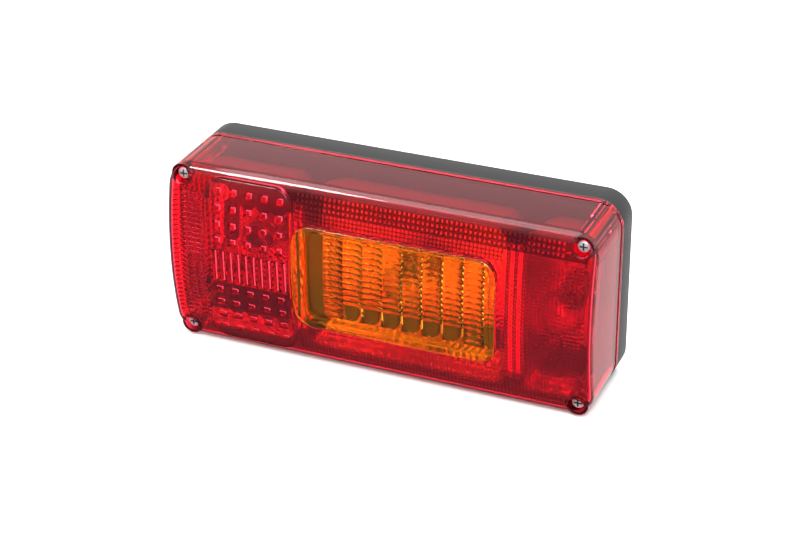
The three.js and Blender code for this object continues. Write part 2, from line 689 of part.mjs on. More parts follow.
BOWLS.forEach(({ side, x }) => {
  const place = groupAt(x);
  const coilTop = INSULATOR_Z + SPRING_HEIGHT - SPRING_WIRE_R;
  const coil = new Coil(SPRING_R, SPRING_TURNS, INSULATOR_Z + SPRING_WIRE_R, coilTop);
  const insulatorTop = INSULATOR_Z + INSULATOR_THICKNESS;
  const insulator = ringProfile(BUTTON_R + 3 * FIT, SOCKET_R, INSULATOR_Z, insulatorTop);
  const tip = [[0, TIP_Z], [TIP_R * 0.6, TIP_Z], [TIP_R, TIP_Z + TIP_HEIGHT], [0, TIP_Z + TIP_HEIGHT]];
  addPiece(place, `feed_strip_${side}`, 'brass', feedStrip());
  addPiece(place, `socket_insulator_${side}`, 'phenolic', turned(insulator));
  addPiece(place, `bulb_socket_${side}`, 'nickel', socketShell());
  addPiece(place, `contact_spring_${side}`, 'springSteel', wire(coil, SPRING_WIRE_R, 24, 4));
  addPiece(place, `contact_button_${side}`, 'phenolic', contactButton());
  addPiece(place, `bulb_tip_${side}`, 'solder', turned(tip, 12));
  addPiece(place, `bulb_cap_${side}`, 'brass', bulbCap());
  addPiece(place, `bulb_glass_${side}`, 'glass', bulbGlass());
  addPiece(place, `bulb_filament_${side}`, 'tungsten', bulbFilament());
});

// ---------------------------------------------------------------- mounting bolts and cable grommet

BOLTS.forEach(({ side, x }) => {
  const place = groupAt(x);
  const headZ = FLOOR + FIT;
  const washerZ = -FIT - WASHER_THICKNESS;
  const nutZ = washerZ - FIT - NUT_HEIGHT;
  const head = hexBar(BOLT_HEAD_FLATS, headZ, headZ + BOLT_HEAD_HEIGHT);
  const bolt = join(head, rod(BOLT_R, -BOLT_REACH, headZ + 1));
  const nutBore = rod(BOLT_R + FIT, nutZ - 1, nutZ + NUT_HEIGHT + 1);
  const nut = cut(hexBar(BOLT_HEAD_FLATS, nutZ, nutZ + NUT_HEIGHT), nutBore);
  const washer = turned(ringProfile(BOLT_R + FIT, WASHER_R, washerZ, washerZ + WASHER_THICKNESS));
  addPiece(place, `mounting_bolt_${side}`, 'zincSteel', bolt);
  addPiece(place, `mounting_nut_${side}`, 'zincSteel', nut);
  addPiece(place, `mounting_washer_${side}`, 'zincSteel', washer);
});

/** Rubber grommet held by a flange each side of the housing floor, with a tapered nose behind. */
function cableGrommet() {
  const neck = GROMMET_HOLE_R - FIT;
  const back = -FIT - GROMMET_FLANGE;
  return turned([
    [GROMMET_BORE_R, back - GROMMET_NOSE],
    [GROMMET_BORE_R + 1.6, back - GROMMET_NOSE],
    [neck, back],
    [GROMMET_FLANGE_R, back],
    [GROMMET_FLANGE_R, -FIT],
    [neck, -FIT],
    [neck, FLOOR + FIT],
    [GROMMET_FLANGE_R, FLOOR + FIT],
    [GROMMET_FLANGE_R, FLOOR + FIT + GROMMET_FLANGE],
    [GROMMET_BORE_R, FLOOR + FIT + GROMMET_FLANGE],
    [GROMMET_BORE_R, back - GROMMET_NOSE],
  ]);
}

addPiece(groupAt(0, GROMMET_Y), 'cable_grommet', 'rubber', cableGrommet());

const group = new THREE.Group();
group.name = 'trailer_tail_light';
group.add(lamp);

export default group;
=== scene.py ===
"""Rear combination lamp for a trailer, dressed for the studio.

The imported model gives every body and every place. Each sub-assembly below is a class that models its
pieces on a bench in the lamp's own axes and in millimetres: x to the right and y up as seen from the
front, and z out of the mounting face. A finished piece is then set down in the model's frame.
"""

import logging
import math
from dataclasses import dataclass, field
from enum import Enum
from typing import Callable, Sequence

import bmesh
import bpy
from mathutils import Matrix, Vector


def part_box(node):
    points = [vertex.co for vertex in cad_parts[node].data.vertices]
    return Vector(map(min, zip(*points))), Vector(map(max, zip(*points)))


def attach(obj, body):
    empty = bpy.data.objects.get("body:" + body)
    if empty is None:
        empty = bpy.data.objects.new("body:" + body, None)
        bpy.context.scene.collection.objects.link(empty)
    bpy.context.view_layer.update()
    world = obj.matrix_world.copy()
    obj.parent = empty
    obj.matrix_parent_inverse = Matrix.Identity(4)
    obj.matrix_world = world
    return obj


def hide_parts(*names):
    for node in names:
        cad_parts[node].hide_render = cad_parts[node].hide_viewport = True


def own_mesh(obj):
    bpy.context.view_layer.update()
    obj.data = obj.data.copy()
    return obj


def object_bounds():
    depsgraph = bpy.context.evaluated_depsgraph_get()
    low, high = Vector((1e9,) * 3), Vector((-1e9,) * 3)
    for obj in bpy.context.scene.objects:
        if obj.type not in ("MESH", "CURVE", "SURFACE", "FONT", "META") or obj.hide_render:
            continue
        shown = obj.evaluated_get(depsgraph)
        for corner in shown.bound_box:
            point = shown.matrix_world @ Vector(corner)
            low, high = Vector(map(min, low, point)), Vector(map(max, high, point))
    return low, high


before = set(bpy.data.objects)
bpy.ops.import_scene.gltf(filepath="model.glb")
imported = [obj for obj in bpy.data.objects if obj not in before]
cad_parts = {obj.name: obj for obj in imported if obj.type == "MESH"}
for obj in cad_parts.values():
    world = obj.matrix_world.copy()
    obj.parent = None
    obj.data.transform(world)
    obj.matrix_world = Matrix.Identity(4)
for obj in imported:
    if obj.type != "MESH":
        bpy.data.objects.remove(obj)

MM = 0.001  # one millimetre in the model's metres
FIT = 0.3  # gap wherever two pieces meet
FULL_TURN = 2 * math.pi
SMOOTH_ANGLE = math.radians(32)
CAD_BOX = [list(map(float, corner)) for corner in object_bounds()]

log = logging.getLogger("lamp")


class Side(Enum):
    """The three bulbs, as seen from the front."""

    LEFT = "left"
    MIDDLE = "middle"
    RIGHT = "right"


class Corner(Enum):
    """The four lens screws."""

    TOP_LEFT = "top_left"
    TOP_RIGHT = "top_right"
    BOTTOM_LEFT = "bottom_left"
    BOTTOM_RIGHT = "bottom_right"


class Element(Enum):
    """What an operator works on in edit mode."""

    VERTICES = "VERT"
    EDGES = "EDGE"
    FACES = "FACE"


@dataclass(frozen=True)
class Extent:
    """A box in the lamp's axes and millimetres."""

    left: float
    right: float
    bottom: float
    top: float
    back: float
    front: float

    @classmethod
    def of(cls, node: str) -> "Extent":
        """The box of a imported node.

        Args:
            node: name of the node.

        Returns:
            Its extent at rest.
        """
        low, high = ([value / MM for value in corner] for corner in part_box(node))
        return cls(low[0], high[0], low[2], high[2], -high[1], -low[1])

    @property
    def x(self) -> float:
        """Middle of the width."""
        return (self.left + self.right) / 2

    @property
    def y(self) -> float:
        """Middle of the height."""
        return (self.bottom + self.top) / 2

    @property
    def width(self) -> float:
        """Size along x."""
        return self.right - self.left

    @property
    def height(self) -> float:
        """Size along y."""
        return self.top - self.bottom

    def grown(self, gap: float) -> "Extent":
        """The same box with every side wall moved out by a gap."""
        sides = (self.left - gap, self.right + gap, self.bottom - gap, self.top + gap)
        return Extent(*sides, self.back, self.front)

    def between(self, back: float, front: float) -> "Extent":
        """The same outline between two other depths."""
        return Extent(self.left, self.right, self.bottom, self.top, back, front)


# ---------------------------------------------------------------- the bench


def deselect_all() -> None:
    """Leaves object mode with nothing selected."""
    if bpy.context.object and bpy.context.object.mode != "OBJECT":
        bpy.ops.object.mode_set(mode="OBJECT")
    bpy.ops.object.select_all(action="DESELECT")


class Workpiece:
    """One piece on the bench, in the lamp's axes and millimetres."""

    def __init__(self, piece: bpy.types.Object) -> None:
        """Takes up a mesh object.

        Args:
            piece: the object, with its place already in its mesh.
        """
        self.piece = piece

    # ------------------------------------------------ starts

    @classmethod
    def from_primitive(
        cls, add: Callable, stretch: Sequence[float] = (1, 1, 1), **options: object
    ) -> "Workpiece":
        """Adds a primitive and puts its place in its mesh.

        Args:
            add: the operator that adds it.
            stretch: its scale along x, y and z.
            options: the operator's own options.

        Returns:
            The new workpiece.
        """
        deselect_all()
        add(**options)
        bpy.context.object.scale = stretch
        bpy.ops.object.transform_apply(location=True, rotation=True, scale=True)
        return cls(bpy.context.object)

    @classmethod
    def block(cls, extent: Extent, radius: float = 0, segments: int = 8) -> "Workpiece":
        """A block whose four upright edges are rounded.

        Args:
            extent: its box.
            radius: of the rounding seen from the front.
            segments: flats round each quarter turn.

        Returns:
            The new workpiece.
        """
        depth = extent.front - extent.back
        work = cls.from_primitive(
            bpy.ops.mesh.primitive_cube_add,
            size=1,
            location=(extent.x, extent.y, extent.back + depth / 2),
            stretch=(extent.width, extent.height, depth),
        )
        if radius:
            work.pick(Element.EDGES, is_upright)
            work.bevel(radius, segments)
        return work

    @classmethod
    def turned(
        cls,
        profile: Sequence[tuple[float, float]],
        x: float = 0,
        y: float = 0,
        sides: int = 48,
        solid: bool = True,
    ) -> "Workpiece":
        """A body turned about z.

        Args:
            profile: (radius, depth) points. A solid body starts with a flat foot and ends with a flat
                or a small crown; a hollow one comes back to its first point by itself.
            x: where its axis stands.
            y: where its axis stands.
            sides: flats round it.
            solid: True for a filled body, False for a ring.

        Returns:
            The new workpiece.
        """
        radius, depth = profile[0]
        work = cls.from_primitive(
            bpy.ops.mesh.primitive_circle_add,
            vertices=sides,
            radius=radius,
            fill_type="NGON" if solid else "NOTHING",
            location=(x, y, depth),
        )
        work.edit(Element.VERTICES)
        bpy.ops.mesh.select_all(action="SELECT")
        points = list(profile[1:]) + ([] if solid else [profile[0]])
        for next_radius, next_depth in points:
            step = {"value": (0, 0, next_depth - depth)}
            bpy.ops.mesh.extrude_region_move(TRANSFORM_OT_translate=step)
            scale = next_radius / radius
            centre = (x, y, next_depth)
            bpy.ops.transform.resize(value=(scale, scale, 1), center_override=centre)
            radius, depth = next_radius, next_depth
        work.tidy()
        return work

    @classmethod
    def ring(
        cls, inner: float, outer: float, back: float, front: float, x: float = 0, y: float = 0
    ) -> "Workpiece":
        """A flat ring about z, its outer edges eased a little.

        Args:
            inner: bore radius.
            outer: outside radius.
            back: depth of its back face.
            front: depth of its front face.
            x: where its axis stands.
            y: where its axis stands.

        Returns:
            The new workpiece.
        """
        ease = min(0.15, (front - back) / 4, (outer - inner) / 4)
        profile = [
            (inner, back),
            (outer - ease, back),
            (outer, back + ease),
            (outer, front - ease),
            (outer - ease, front),
            (inner, front),
        ]
        return cls.turned(profile, x, y, solid=False)

    @classmethod
    def rod(
        cls, radius: float, back: float, front: float, x: float, y: float, sides: int = 48
    ) -> "Workpiece":
        """A plain round bar along z, for joining or cutting."""
        return cls.turned([(radius, back), (radius, front)], x, y, sides)

    @classmethod
    def wire(cls, places: Sequence[Vector], radius: float, sides: int = 8) -> "Workpiece":
        """Round wire along a smooth path.

        Args:
            places: points on its middle line.
            radius: of the wire.
            sides: flats round the wire, an even number.

        Returns:
            The new workpiece, with closed ends.
        """
        deselect_all()
        curve = bpy.data.curves.new("wire", "CURVE")
        curve.dimensions = "3D"
        curve.bevel_depth = radius
        curve.bevel_resolution = sides // 2 - 2
        curve.use_fill_caps = True
        spline = curve.splines.new("POLY")
        spline.points.add(len(places) - 1)
        for point, place in zip(spline.points, places):
            point.co = (*place, 1)
        piece = bpy.data.objects.new("wire", curve)
        bpy.context.collection.objects.link(piece)
        piece.select_set(True)
        bpy.context.view_layer.objects.active = piece
        bpy.ops.object.convert(target="MESH")
        work = cls(bpy.context.object)
        work.edit(Element.VERTICES)
        work.tidy()
        return work

    # ------------------------------------------------ edit mode

    def activate(self) -> None:
        """Makes this the only selected object."""
        deselect_all()
        self.piece.select_set(True)
        bpy.context.view_layer.objects.active = self.piece

    def edit(self, element: Element) -> bmesh.types.BMesh:
        """Opens edit mode.

        Args:
            element: what the next operator works on.

        Returns:
            The mesh being edited.
        """
        if bpy.context.object is not self.piece or self.piece.mode != "EDIT":
            self.activate()
            bpy.ops.object.mode_set(mode="EDIT")
        bpy.ops.mesh.select_mode(type=element.value)
        return bmesh.from_edit_mesh(self.piece.data)

    def pick(self, element: Element, test: Callable) -> None:
        """Selects vertices, edges or faces by their place.

        Args:
            element: which kind to select.
            test: says whether one of them is wanted.
        """
        mesh = self.edit(element)
        bpy.ops.mesh.select_all(action="DESELECT")
        kinds = {
            Element.VERTICES: mesh.verts,
            Element.EDGES: mesh.edges,
            Element.FACES: mesh.faces,
        }
        for item in [item for item in kinds[element] if test(item)]:
            item.select_set(True)
        bmesh.update_edit_mesh(self.piece.data)

    def bevel(self, width: float, segments: int = 1) -> None:
        """Rounds or chamfers the picked edges.

        Args:
            width: from the old edge to the start of the rounding.
            segments: flats across it.
        """
        bpy.ops.mesh.bevel(offset=width, segments=segments, affect="EDGES", clamp_overlap=True)

    def bisect(self, place: Vector, normal: Vector) -> None:
        """Scores the whole piece along a plane.

        Args:
            place: a point on the plane.
            normal: its direction.
        """
        self.edit(Element.VERTICES)
        bpy.ops.mesh.select_all(action="SELECT")
        bpy.ops.mesh.bisect(plane_co=place, plane_no=normal, threshold=0.002)

    def tidy(self) -> None:
        """Merges doubles and turns every face outwards, then leaves edit mode."""
        bpy.ops.mesh.select_all(action="SELECT")
        bpy.ops.mesh.remove_doubles(threshold=0.001)
        bpy.ops.mesh.normals_make_consistent(inside=False)
        bpy.ops.object.mode_set(mode="OBJECT")

    def reshape(self, move: Callable[[Vector], Vector]) -> None:
        """Moves every vertex by a formula.

        Args:
            move: gives the new place of a point.
        """
        deselect_all()
        for vertex in self.piece.data.vertices:
            vertex.co = move(vertex.co.copy())
        self.piece.data.update()

    # ------------------------------------------------ joining, cutting and copying

    def combine(self, other: "Workpiece", operation: str) -> "Workpiece":
        """Joins, cuts or meets this piece with another, which is used up.

        Args:
            other: the other workpiece.
            operation: UNION, DIFFERENCE or INTERSECT.

        Returns:
            This workpiece.
        """
        self.activate()
        modifier = self.piece.modifiers.new("combine", "BOOLEAN")
        modifier.operation = operation
        modifier.object = other.piece
        modifier.solver = "MANIFOLD"
        bpy.ops.object.modifier_apply(modifier=modifier.name)
        scrap(other)
        return self

    def join(self, *others: "Workpiece") -> "Workpiece":
        """Adds other pieces to this one."""
        for other in others:
            self.combine(other, "UNION")
        return self

    def cut(self, *others: "Workpiece") -> "Workpiece":
        """Takes other pieces away from this one."""
        for other in others:
            self.combine(other, "DIFFERENCE")
        return self

    def meet(self, other: "Workpiece") -> "Workpiece":
        """Keeps only what this piece shares with another."""
        return self.combine(other, "INTERSECT")

    def copy(self, x: float = 0, y: float = 0, z: float = 0) -> "Workpiece":
        """A copy with its own mesh, moved by the given distances."""
        self.activate()
        bpy.ops.object.duplicate(linked=False)
        bpy.context.object.location = (x, y, z)
        bpy.ops.object.transform_apply(location=True, rotation=True, scale=True)
        return Workpiece(bpy.context.object)

    def turn(self, angle: float) -> "Workpiece":
        """Turns the piece about the lamp's z axis, counterclockwise as seen from the front."""
        self.activate()
        self.piece.rotation_euler = (0, 0, angle)
        bpy.ops.object.transform_apply(location=True, rotation=True, scale=True)
        return self

    # ------------------------------------------------ set down in the model

    def paint(self, finish: "Finish", test: Callable) -> None:
        """Gives a second finish to the faces that pass a test, after set_down.

        Args:
            finish: the second finish.
            test: says whether a face, by its place and normal in the model's axes, gets it.
        """
        mesh = self.piece.data
        mesh.materials.append(finish.material())
        index = len(mesh.materials) - 1
        for face in mesh.polygons:
            if test(face.center / MM, face.normal):
                face.material_index = index

    def set_down(self, name: str, finish: "Finish", body: str, slot: str) -> "Workpiece":
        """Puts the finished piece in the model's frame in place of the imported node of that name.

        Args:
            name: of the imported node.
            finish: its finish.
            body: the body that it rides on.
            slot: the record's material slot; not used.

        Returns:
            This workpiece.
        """
        self.activate()
        self.piece.rotation_euler = (math.pi / 2, 0, 0)
        self.piece.scale = (MM, MM, MM)
        bpy.ops.object.transform_apply(location=True, rotation=True, scale=True)
        bpy.ops.object.shade_smooth_by_angle(angle=SMOOTH_ANGLE)
        self.piece.name = f"{name}_fine"
        self.piece.data.materials.clear()
        self.piece.data.materials.append(finish.material())
        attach(self.piece, body)
        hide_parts(name)
        log.info("%s: %d faces, rides on %s", name, len(self.piece.data.polygons), body)
        return self


def scrap(*patterns: Workpiece) -> None:
    """Takes pieces that were only copied off the bench."""
    for pattern in patterns:
        bpy.data.objects.remove(pattern.piece)


def lens_screws() -> list[Extent]:
    """The boxes of the four lens screws."""
    return [Extent.of(f"lens_screw_{corner.value}") for corner in Corner]


def is_upright(edge: bmesh.types.BMEdge) -> bool:
    """Whether an edge runs along z."""
    run = edge.verts[1].co - edge.verts[0].co
    return abs(run.z) > 0.99 * run.length


def is_rim(edge: bmesh.types.BMEdge, front: bool = True) -> bool:
    """Whether an edge lies between a wall and the front or back face of a block."""
    if len(edge.link_faces) != 2:
        return False
    facing = sorted(abs(face.normal.z) for face in edge.link_faces)
    sign = sum(face.normal.z for face in edge.link_faces)
    return facing[0] < 0.2 and facing[1] > 0.85 and (sign > 0) == front


# ---------------------------------------------------------------- finishes


def linear(colour: str) -> tuple[float, float, float, float]:
    """An sRGB hex colour as linear red, green, blue and alpha.

    Args:
        colour: six hex digits after a #.

    Returns:
        The linear colour, with an alpha of 1.
    """
    values = [int(colour[i : i + 2], 16) / 255 for i in (1, 3, 5)]
    curve = [v / 12.92 if v <= 0.04045 else ((v + 0.055) / 1.055) ** 2.4 for v in values]
    return (*curve, 1.0)


def add_node(
    tree: bpy.types.NodeTree, kind: str, inputs: dict | None = None, **settings: object
) -> bpy.types.Node:
    """Adds a node with its settings and links.

    Args:
        tree: the node tree.
        kind: the node's type.
        inputs: for each input, a value or the socket that feeds it.
        settings: the node's own properties.

    Returns:
        The new node.
    """
    node = tree.nodes.new(kind)
    for name, value in settings.items():
        setattr(node, name, value)
    for name, value in (inputs or {}).items():
        if isinstance(value, bpy.types.NodeSocket):
            tree.links.new(value, node.inputs[name])
        else:
            node.inputs[name].default_value = value
    return node


@dataclass(frozen=True)
class Finish:
    """A plain finish: a colour, a gloss that wanders a little, and a fine surface grain."""

    name: str
    colour: str
    shade: str  # the colour of the worn or shaded patches
    roughness: float
    roughness_spread: float = 0.06
    metallic: float = 0.0
    ior: float = 1.5
    patch_mm: float = 9.0  # size of the gloss and colour patches
    grain_mm: float = 0.8
    grain_depth_mm: float = 0.01
    patch_detail: float = 4.0

    def material(self) -> bpy.types.Material:
        """The finish as a material, made once.

        Returns:
            The material.
        """
        found = bpy.data.materials.get(self.name)
        if found:
            return found
        material = bpy.data.materials.new(self.name)
        material.use_nodes = True
        tree = material.node_tree
        tree.nodes.clear()
        shader = self.shader(tree)
        add_node(tree, "ShaderNodeOutputMaterial", {"Surface": shader})
        return material

    def shader(self, tree: bpy.types.NodeTree) -> bpy.types.NodeSocket:
        """Builds the finish's nodes.

        Args:
            tree: the material's node tree.

        Returns:
            The socket that feeds the surface.
        """
        place = add_node(tree, "ShaderNodeTexCoord").outputs["Object"]
        patches = self.noise(tree, place, self.patch_mm, self.patch_detail)
        colours = {"Factor": patches, "A": linear(self.colour), "B": linear(self.shade)}
        inputs = {
            "Base Color": add_node(tree, "ShaderNodeMix", colours, data_type="RGBA").outputs["Result"],
            "Roughness": self.gloss(tree, patches),
            "IOR": self.ior,
            "Normal": self.grain(tree, place),
            **self.kind(),
        }
        return add_node(tree, "ShaderNodeBsdfPrincipled", inputs).outputs["BSDF"]

    def kind(self) -> dict[str, float]:
        """The shader inputs that tell a metal or a plain plastic from a clear one."""
        return {"Metallic": self.metallic}

    def noise(
        self, tree: bpy.types.NodeTree, place: bpy.types.NodeSocket, size_mm: float, detail: float
    ) -> bpy.types.NodeSocket:
        """A soft random pattern.

        Args:
            tree: the material's node tree.
            place: the coordinates that it reads.
            size_mm: size of its patches.
            detail: number of finer layers.

        Returns:
            Its value, 0 to 1.
        """
        inputs = {"Vector": place, "Scale": 1 / (size_mm * MM), "Detail": detail}
        return add_node(tree, "ShaderNodeTexNoise", inputs).outputs["Fac"]

    def gloss(self, tree: bpy.types.NodeTree, patches: bpy.types.NodeSocket) -> bpy.types.NodeSocket:
        """Roughness that follows the patches, within its spread."""
        inputs = {
            "Value": patches,
            "To Min": max(self.roughness - self.roughness_spread, 0.01),
            "To Max": self.roughness + self.roughness_spread,
        }
        return add_node(tree, "ShaderNodeMapRange", inputs).outputs["Result"]

    def grain(self, tree: bpy.types.NodeTree, place: bpy.types.NodeSocket) -> bpy.types.NodeSocket:
        """Fine surface grain as a normal."""
        height = self.noise(tree, place, self.grain_mm, detail=2.0)
        inputs = {"Height": height, "Distance": self.grain_depth_mm * MM, "Strength": 1.0}
        return add_node(tree, "ShaderNodeBump", inputs).outputs["Normal"]


@dataclass(frozen=True)
class ClearFinish(Finish):
    """A clear finish, such as acrylic or glass, that tints the light passing through it."""

    patch_detail: float = 3.0
    clearness: float = 0.975  # the rest is haze

    def kind(self) -> dict[str, float]:
        """The shader inputs that tell a clear finish from the others."""
        return {"Transmission Weight": self.clearness}


@dataclass(frozen=True)
class FacetedSilver(Finish):
    """Vacuum-metallised plastic whose dimples stand in rings round a bulb."""

    centre_x: float = 0.0
    ring_mm: float = 3.2
    spokes: int = 34
    level_mm: float = 4.4  # of the ripple down the side walls
    dimple_depth_mm: float = 0.4

    def grain(self, tree: bpy.types.NodeTree, place: bpy.types.NodeSocket) -> bpy.types.NodeSocket:
        """Dimples in rings about the bulb's axis, as a normal.

        Args:
            tree: the material's node tree.
            place: the object coordinates.

        Returns:
            The normal socket.
        """
        flat = {"Vector": place, "Location": (-self.centre_x * MM, 0, 0), "Scale": (1, 0, 1)}
        centred = add_node(tree, "ShaderNodeMapping", flat).outputs["Vector"]
        reach = add_node(tree, "ShaderNodeVectorMath", {0: centred}, operation="LENGTH")
        parts = add_node(tree, "ShaderNodeSeparateXYZ", {"Vector": centred}).outputs
        angle = self.math(tree, "ARCTAN2", parts["Z"], parts["X"])
        turns = self.math(tree, "MULTIPLY", reach.outputs["Value"], FULL_TURN / (self.ring_mm * MM))
        rings = self.math(tree, "SINE", turns, 0.0)
        spokes = self.math(tree, "SINE", self.math(tree, "MULTIPLY", angle, self.spokes), 0.0)
        dimples = self.math(tree, "MULTIPLY", rings, spokes)
        depth = add_node(tree, "ShaderNodeSeparateXYZ", {"Vector": place}).outputs["Y"]
        levels = self.math(tree, "MULTIPLY", depth, FULL_TURN / (self.level_mm * MM))
        height = self.math(tree, "ADD", dimples, self.math(tree, "SINE", levels, 0.0))
        bump = {"Height": height, "Distance": self.dimple_depth_mm * MM / 2, "Strength": 1.0}
        return add_node(tree, "ShaderNodeBump", bump).outputs["Normal"]

    def math(
        self, tree: bpy.types.NodeTree, operation: str, first: object, second: object
    ) -> bpy.types.NodeSocket:
        """Works out one step of the pattern, and returns its value."""
        inputs = {0: first, 1: second}
        return add_node(tree, "ShaderNodeMath", inputs, operation=operation).outputs["Value"]


# Moulded acrylic with a polished skin: it mirrors the studio faintly and stains all light deep red.
RED_ACRYLIC = ClearFinish(
    "red_acrylic_polished", "#f23a52", "#f0364e", 0.03, 0.015, ior=1.49, patch_mm=30, grain_mm=5,
    grain_depth_mm=0.004,
)
# Painted shade: the same acrylic darkened to stand in for the dark look of the retro-reflecting prisms and
# for the shade behind the red insert.
RED_ACRYLIC_PAINTED_SHADE = ClearFinish(
    "red_acrylic_painted_shade", "#430a12", "#3a090f", 0.06, 0.02, ior=1.49, patch_mm=30, grain_mm=5,
    grain_depth_mm=0.004,
)
# The amber moulding is the same acrylic with an orange dye.
AMBER_ACRYLIC = ClearFinish(
    "amber_acrylic_polished", "#ffa830", "#ffa22a", 0.03, 0.015, ior=1.49, patch_mm=30, grain_mm=5,
    grain_depth_mm=0.004, clearness=0.98,
)
# Injection-moulded ABS, spark-eroded to a satin grain.
BLACK_ABS = Finish(
    "black_abs_spark_grained", "#151415", "#1b1a1b", 0.42, 0.05, ior=1.52, patch_mm=14, grain_mm=0.5,
    grain_depth_mm=0.03,
)
# EPDM rubber straight from the mould: no gloss, and a bloom that greys it in patches.
BLACK_EPDM = Finish(
    "black_epdm_moulded", "#121212", "#202020", 0.8, 0.08, ior=1.52, patch_mm=5, grain_mm=0.4,
    grain_depth_mm=0.03,
)
# Bright zinc plate on cold-headed steel, a little blue with a soft drag of the barrel tumbling.
BRIGHT_ZINC = Finish(
    "bright_zinc_plate", "#e2e6e9", "#c4cad0", 0.34, 0.08, 0.7, patch_mm=1.6, grain_mm=0.35,
    grain_depth_mm=0.01,
)
# The recess of a screw: its zinc darkened with painted shade, and duller where the plating is thin.
ZINC_PAINTED_SHADE = Finish(
    "zinc_recess_painted_shade", "#4b4e52", "#3a3c40", 0.6, 0.08, 0.6, patch_mm=0.8, grain_mm=0.3,
    grain_depth_mm=0.01,
)
# Stamped brass strip, dulled where it was handled.
STAMPED_BRASS = Finish(
    "stamped_brass", "#c9a557", "#a8843f", 0.3, 0.08, 1.0, patch_mm=4, grain_mm=0.4, grain_depth_mm=0.006
)
# Nickel plate on a drawn steel shell, warm against the zinc.
DRAWN_NICKEL = Finish(
    "nickel_plate_drawn", "#c4bfb2", "#a39d90", 0.26, 0.06, 1.0, patch_mm=3, grain_mm=0.5,
    grain_depth_mm=0.005,
)
# Tin solder, frosted as it set.
DULL_SOLDER = Finish(
    "tin_solder_frosted", "#9da0a4", "#7d8084", 0.5, 0.1, 1.0, patch_mm=1, grain_mm=0.4, grain_depth_mm=0.04
)
# Tungsten wire with drawing marks.
DRAWN_TUNGSTEN = Finish(
    "tungsten_wire_drawn", "#77797d", "#5c5e62", 0.45, 0.08, 1.0, patch_mm=0.6, grain_mm=0.2,
    grain_depth_mm=0.004,
)
# Spring steel, oil-tempered to a grey skin.
SPRING_STEEL = Finish(
    "spring_steel_oil_tempered", "#8f9296", "#6f7276", 0.35, 0.08, 1.0, patch_mm=0.8, grain_mm=0.3,
    grain_depth_mm=0.004,
)
# Phenolic paper board, brown with a faint mottle.
PHENOLIC_BOARD = Finish(
    "phenolic_board", "#6b4a2c", "#50351d", 0.6, 0.08, ior=1.55, patch_mm=1.2, grain_mm=0.3,
    grain_depth_mm=0.02,
)
# Soft lamp glass, blown: clear, with a ripple too slight to see except in reflections.
BLOWN_GLASS = ClearFinish(
    "lamp_glass_blown", "#fbfcfc", "#f4f7f7", 0.02, 0.01, ior=1.5, patch_mm=12, grain_mm=6,
    grain_depth_mm=0.01, clearness=1.0,
)
# Painted shade on a bowl: glossy black ABS where the lower walls and the middle bowl's left mouth lie in
# shade.
BOWL_PAINTED_SHADE = Finish(
    "black_abs_painted_shade", "#0c0c0d", "#121213", 0.3, 0.05, ior=1.53, patch_mm=10, grain_mm=2,
    grain_depth_mm=0.01,
)
# The outside of a bowl, which the coating doesn't reach: grey ABS with a satin skin.
BARE_GREY = Finish(
    "grey_abs_satin", "#8b8d8f", "#808284", 0.45, 0.06, ior=1.53, patch_mm=12, grain_mm=1.2,
    grain_depth_mm=0.01,
)


def metallised(side: Side, centre_x: float) -> FacetedSilver:
    """Vacuum-metallised plastic: a mirror softened by the moulded skin below it.

    Args:
        side: the bowl.
        centre_x: where the bulb's axis stands.

    Returns:
        The finish, with its dimples centred on the bulb.
    """
    return FacetedSilver(
        f"aluminium_vacuum_coat_{side.value}", "#eeefef", "#e4e6e7", 0.07, 0.03, 1.0, patch_mm=12,
        centre_x=centre_x,
    )


# ---------------------------------------------------------------- housing


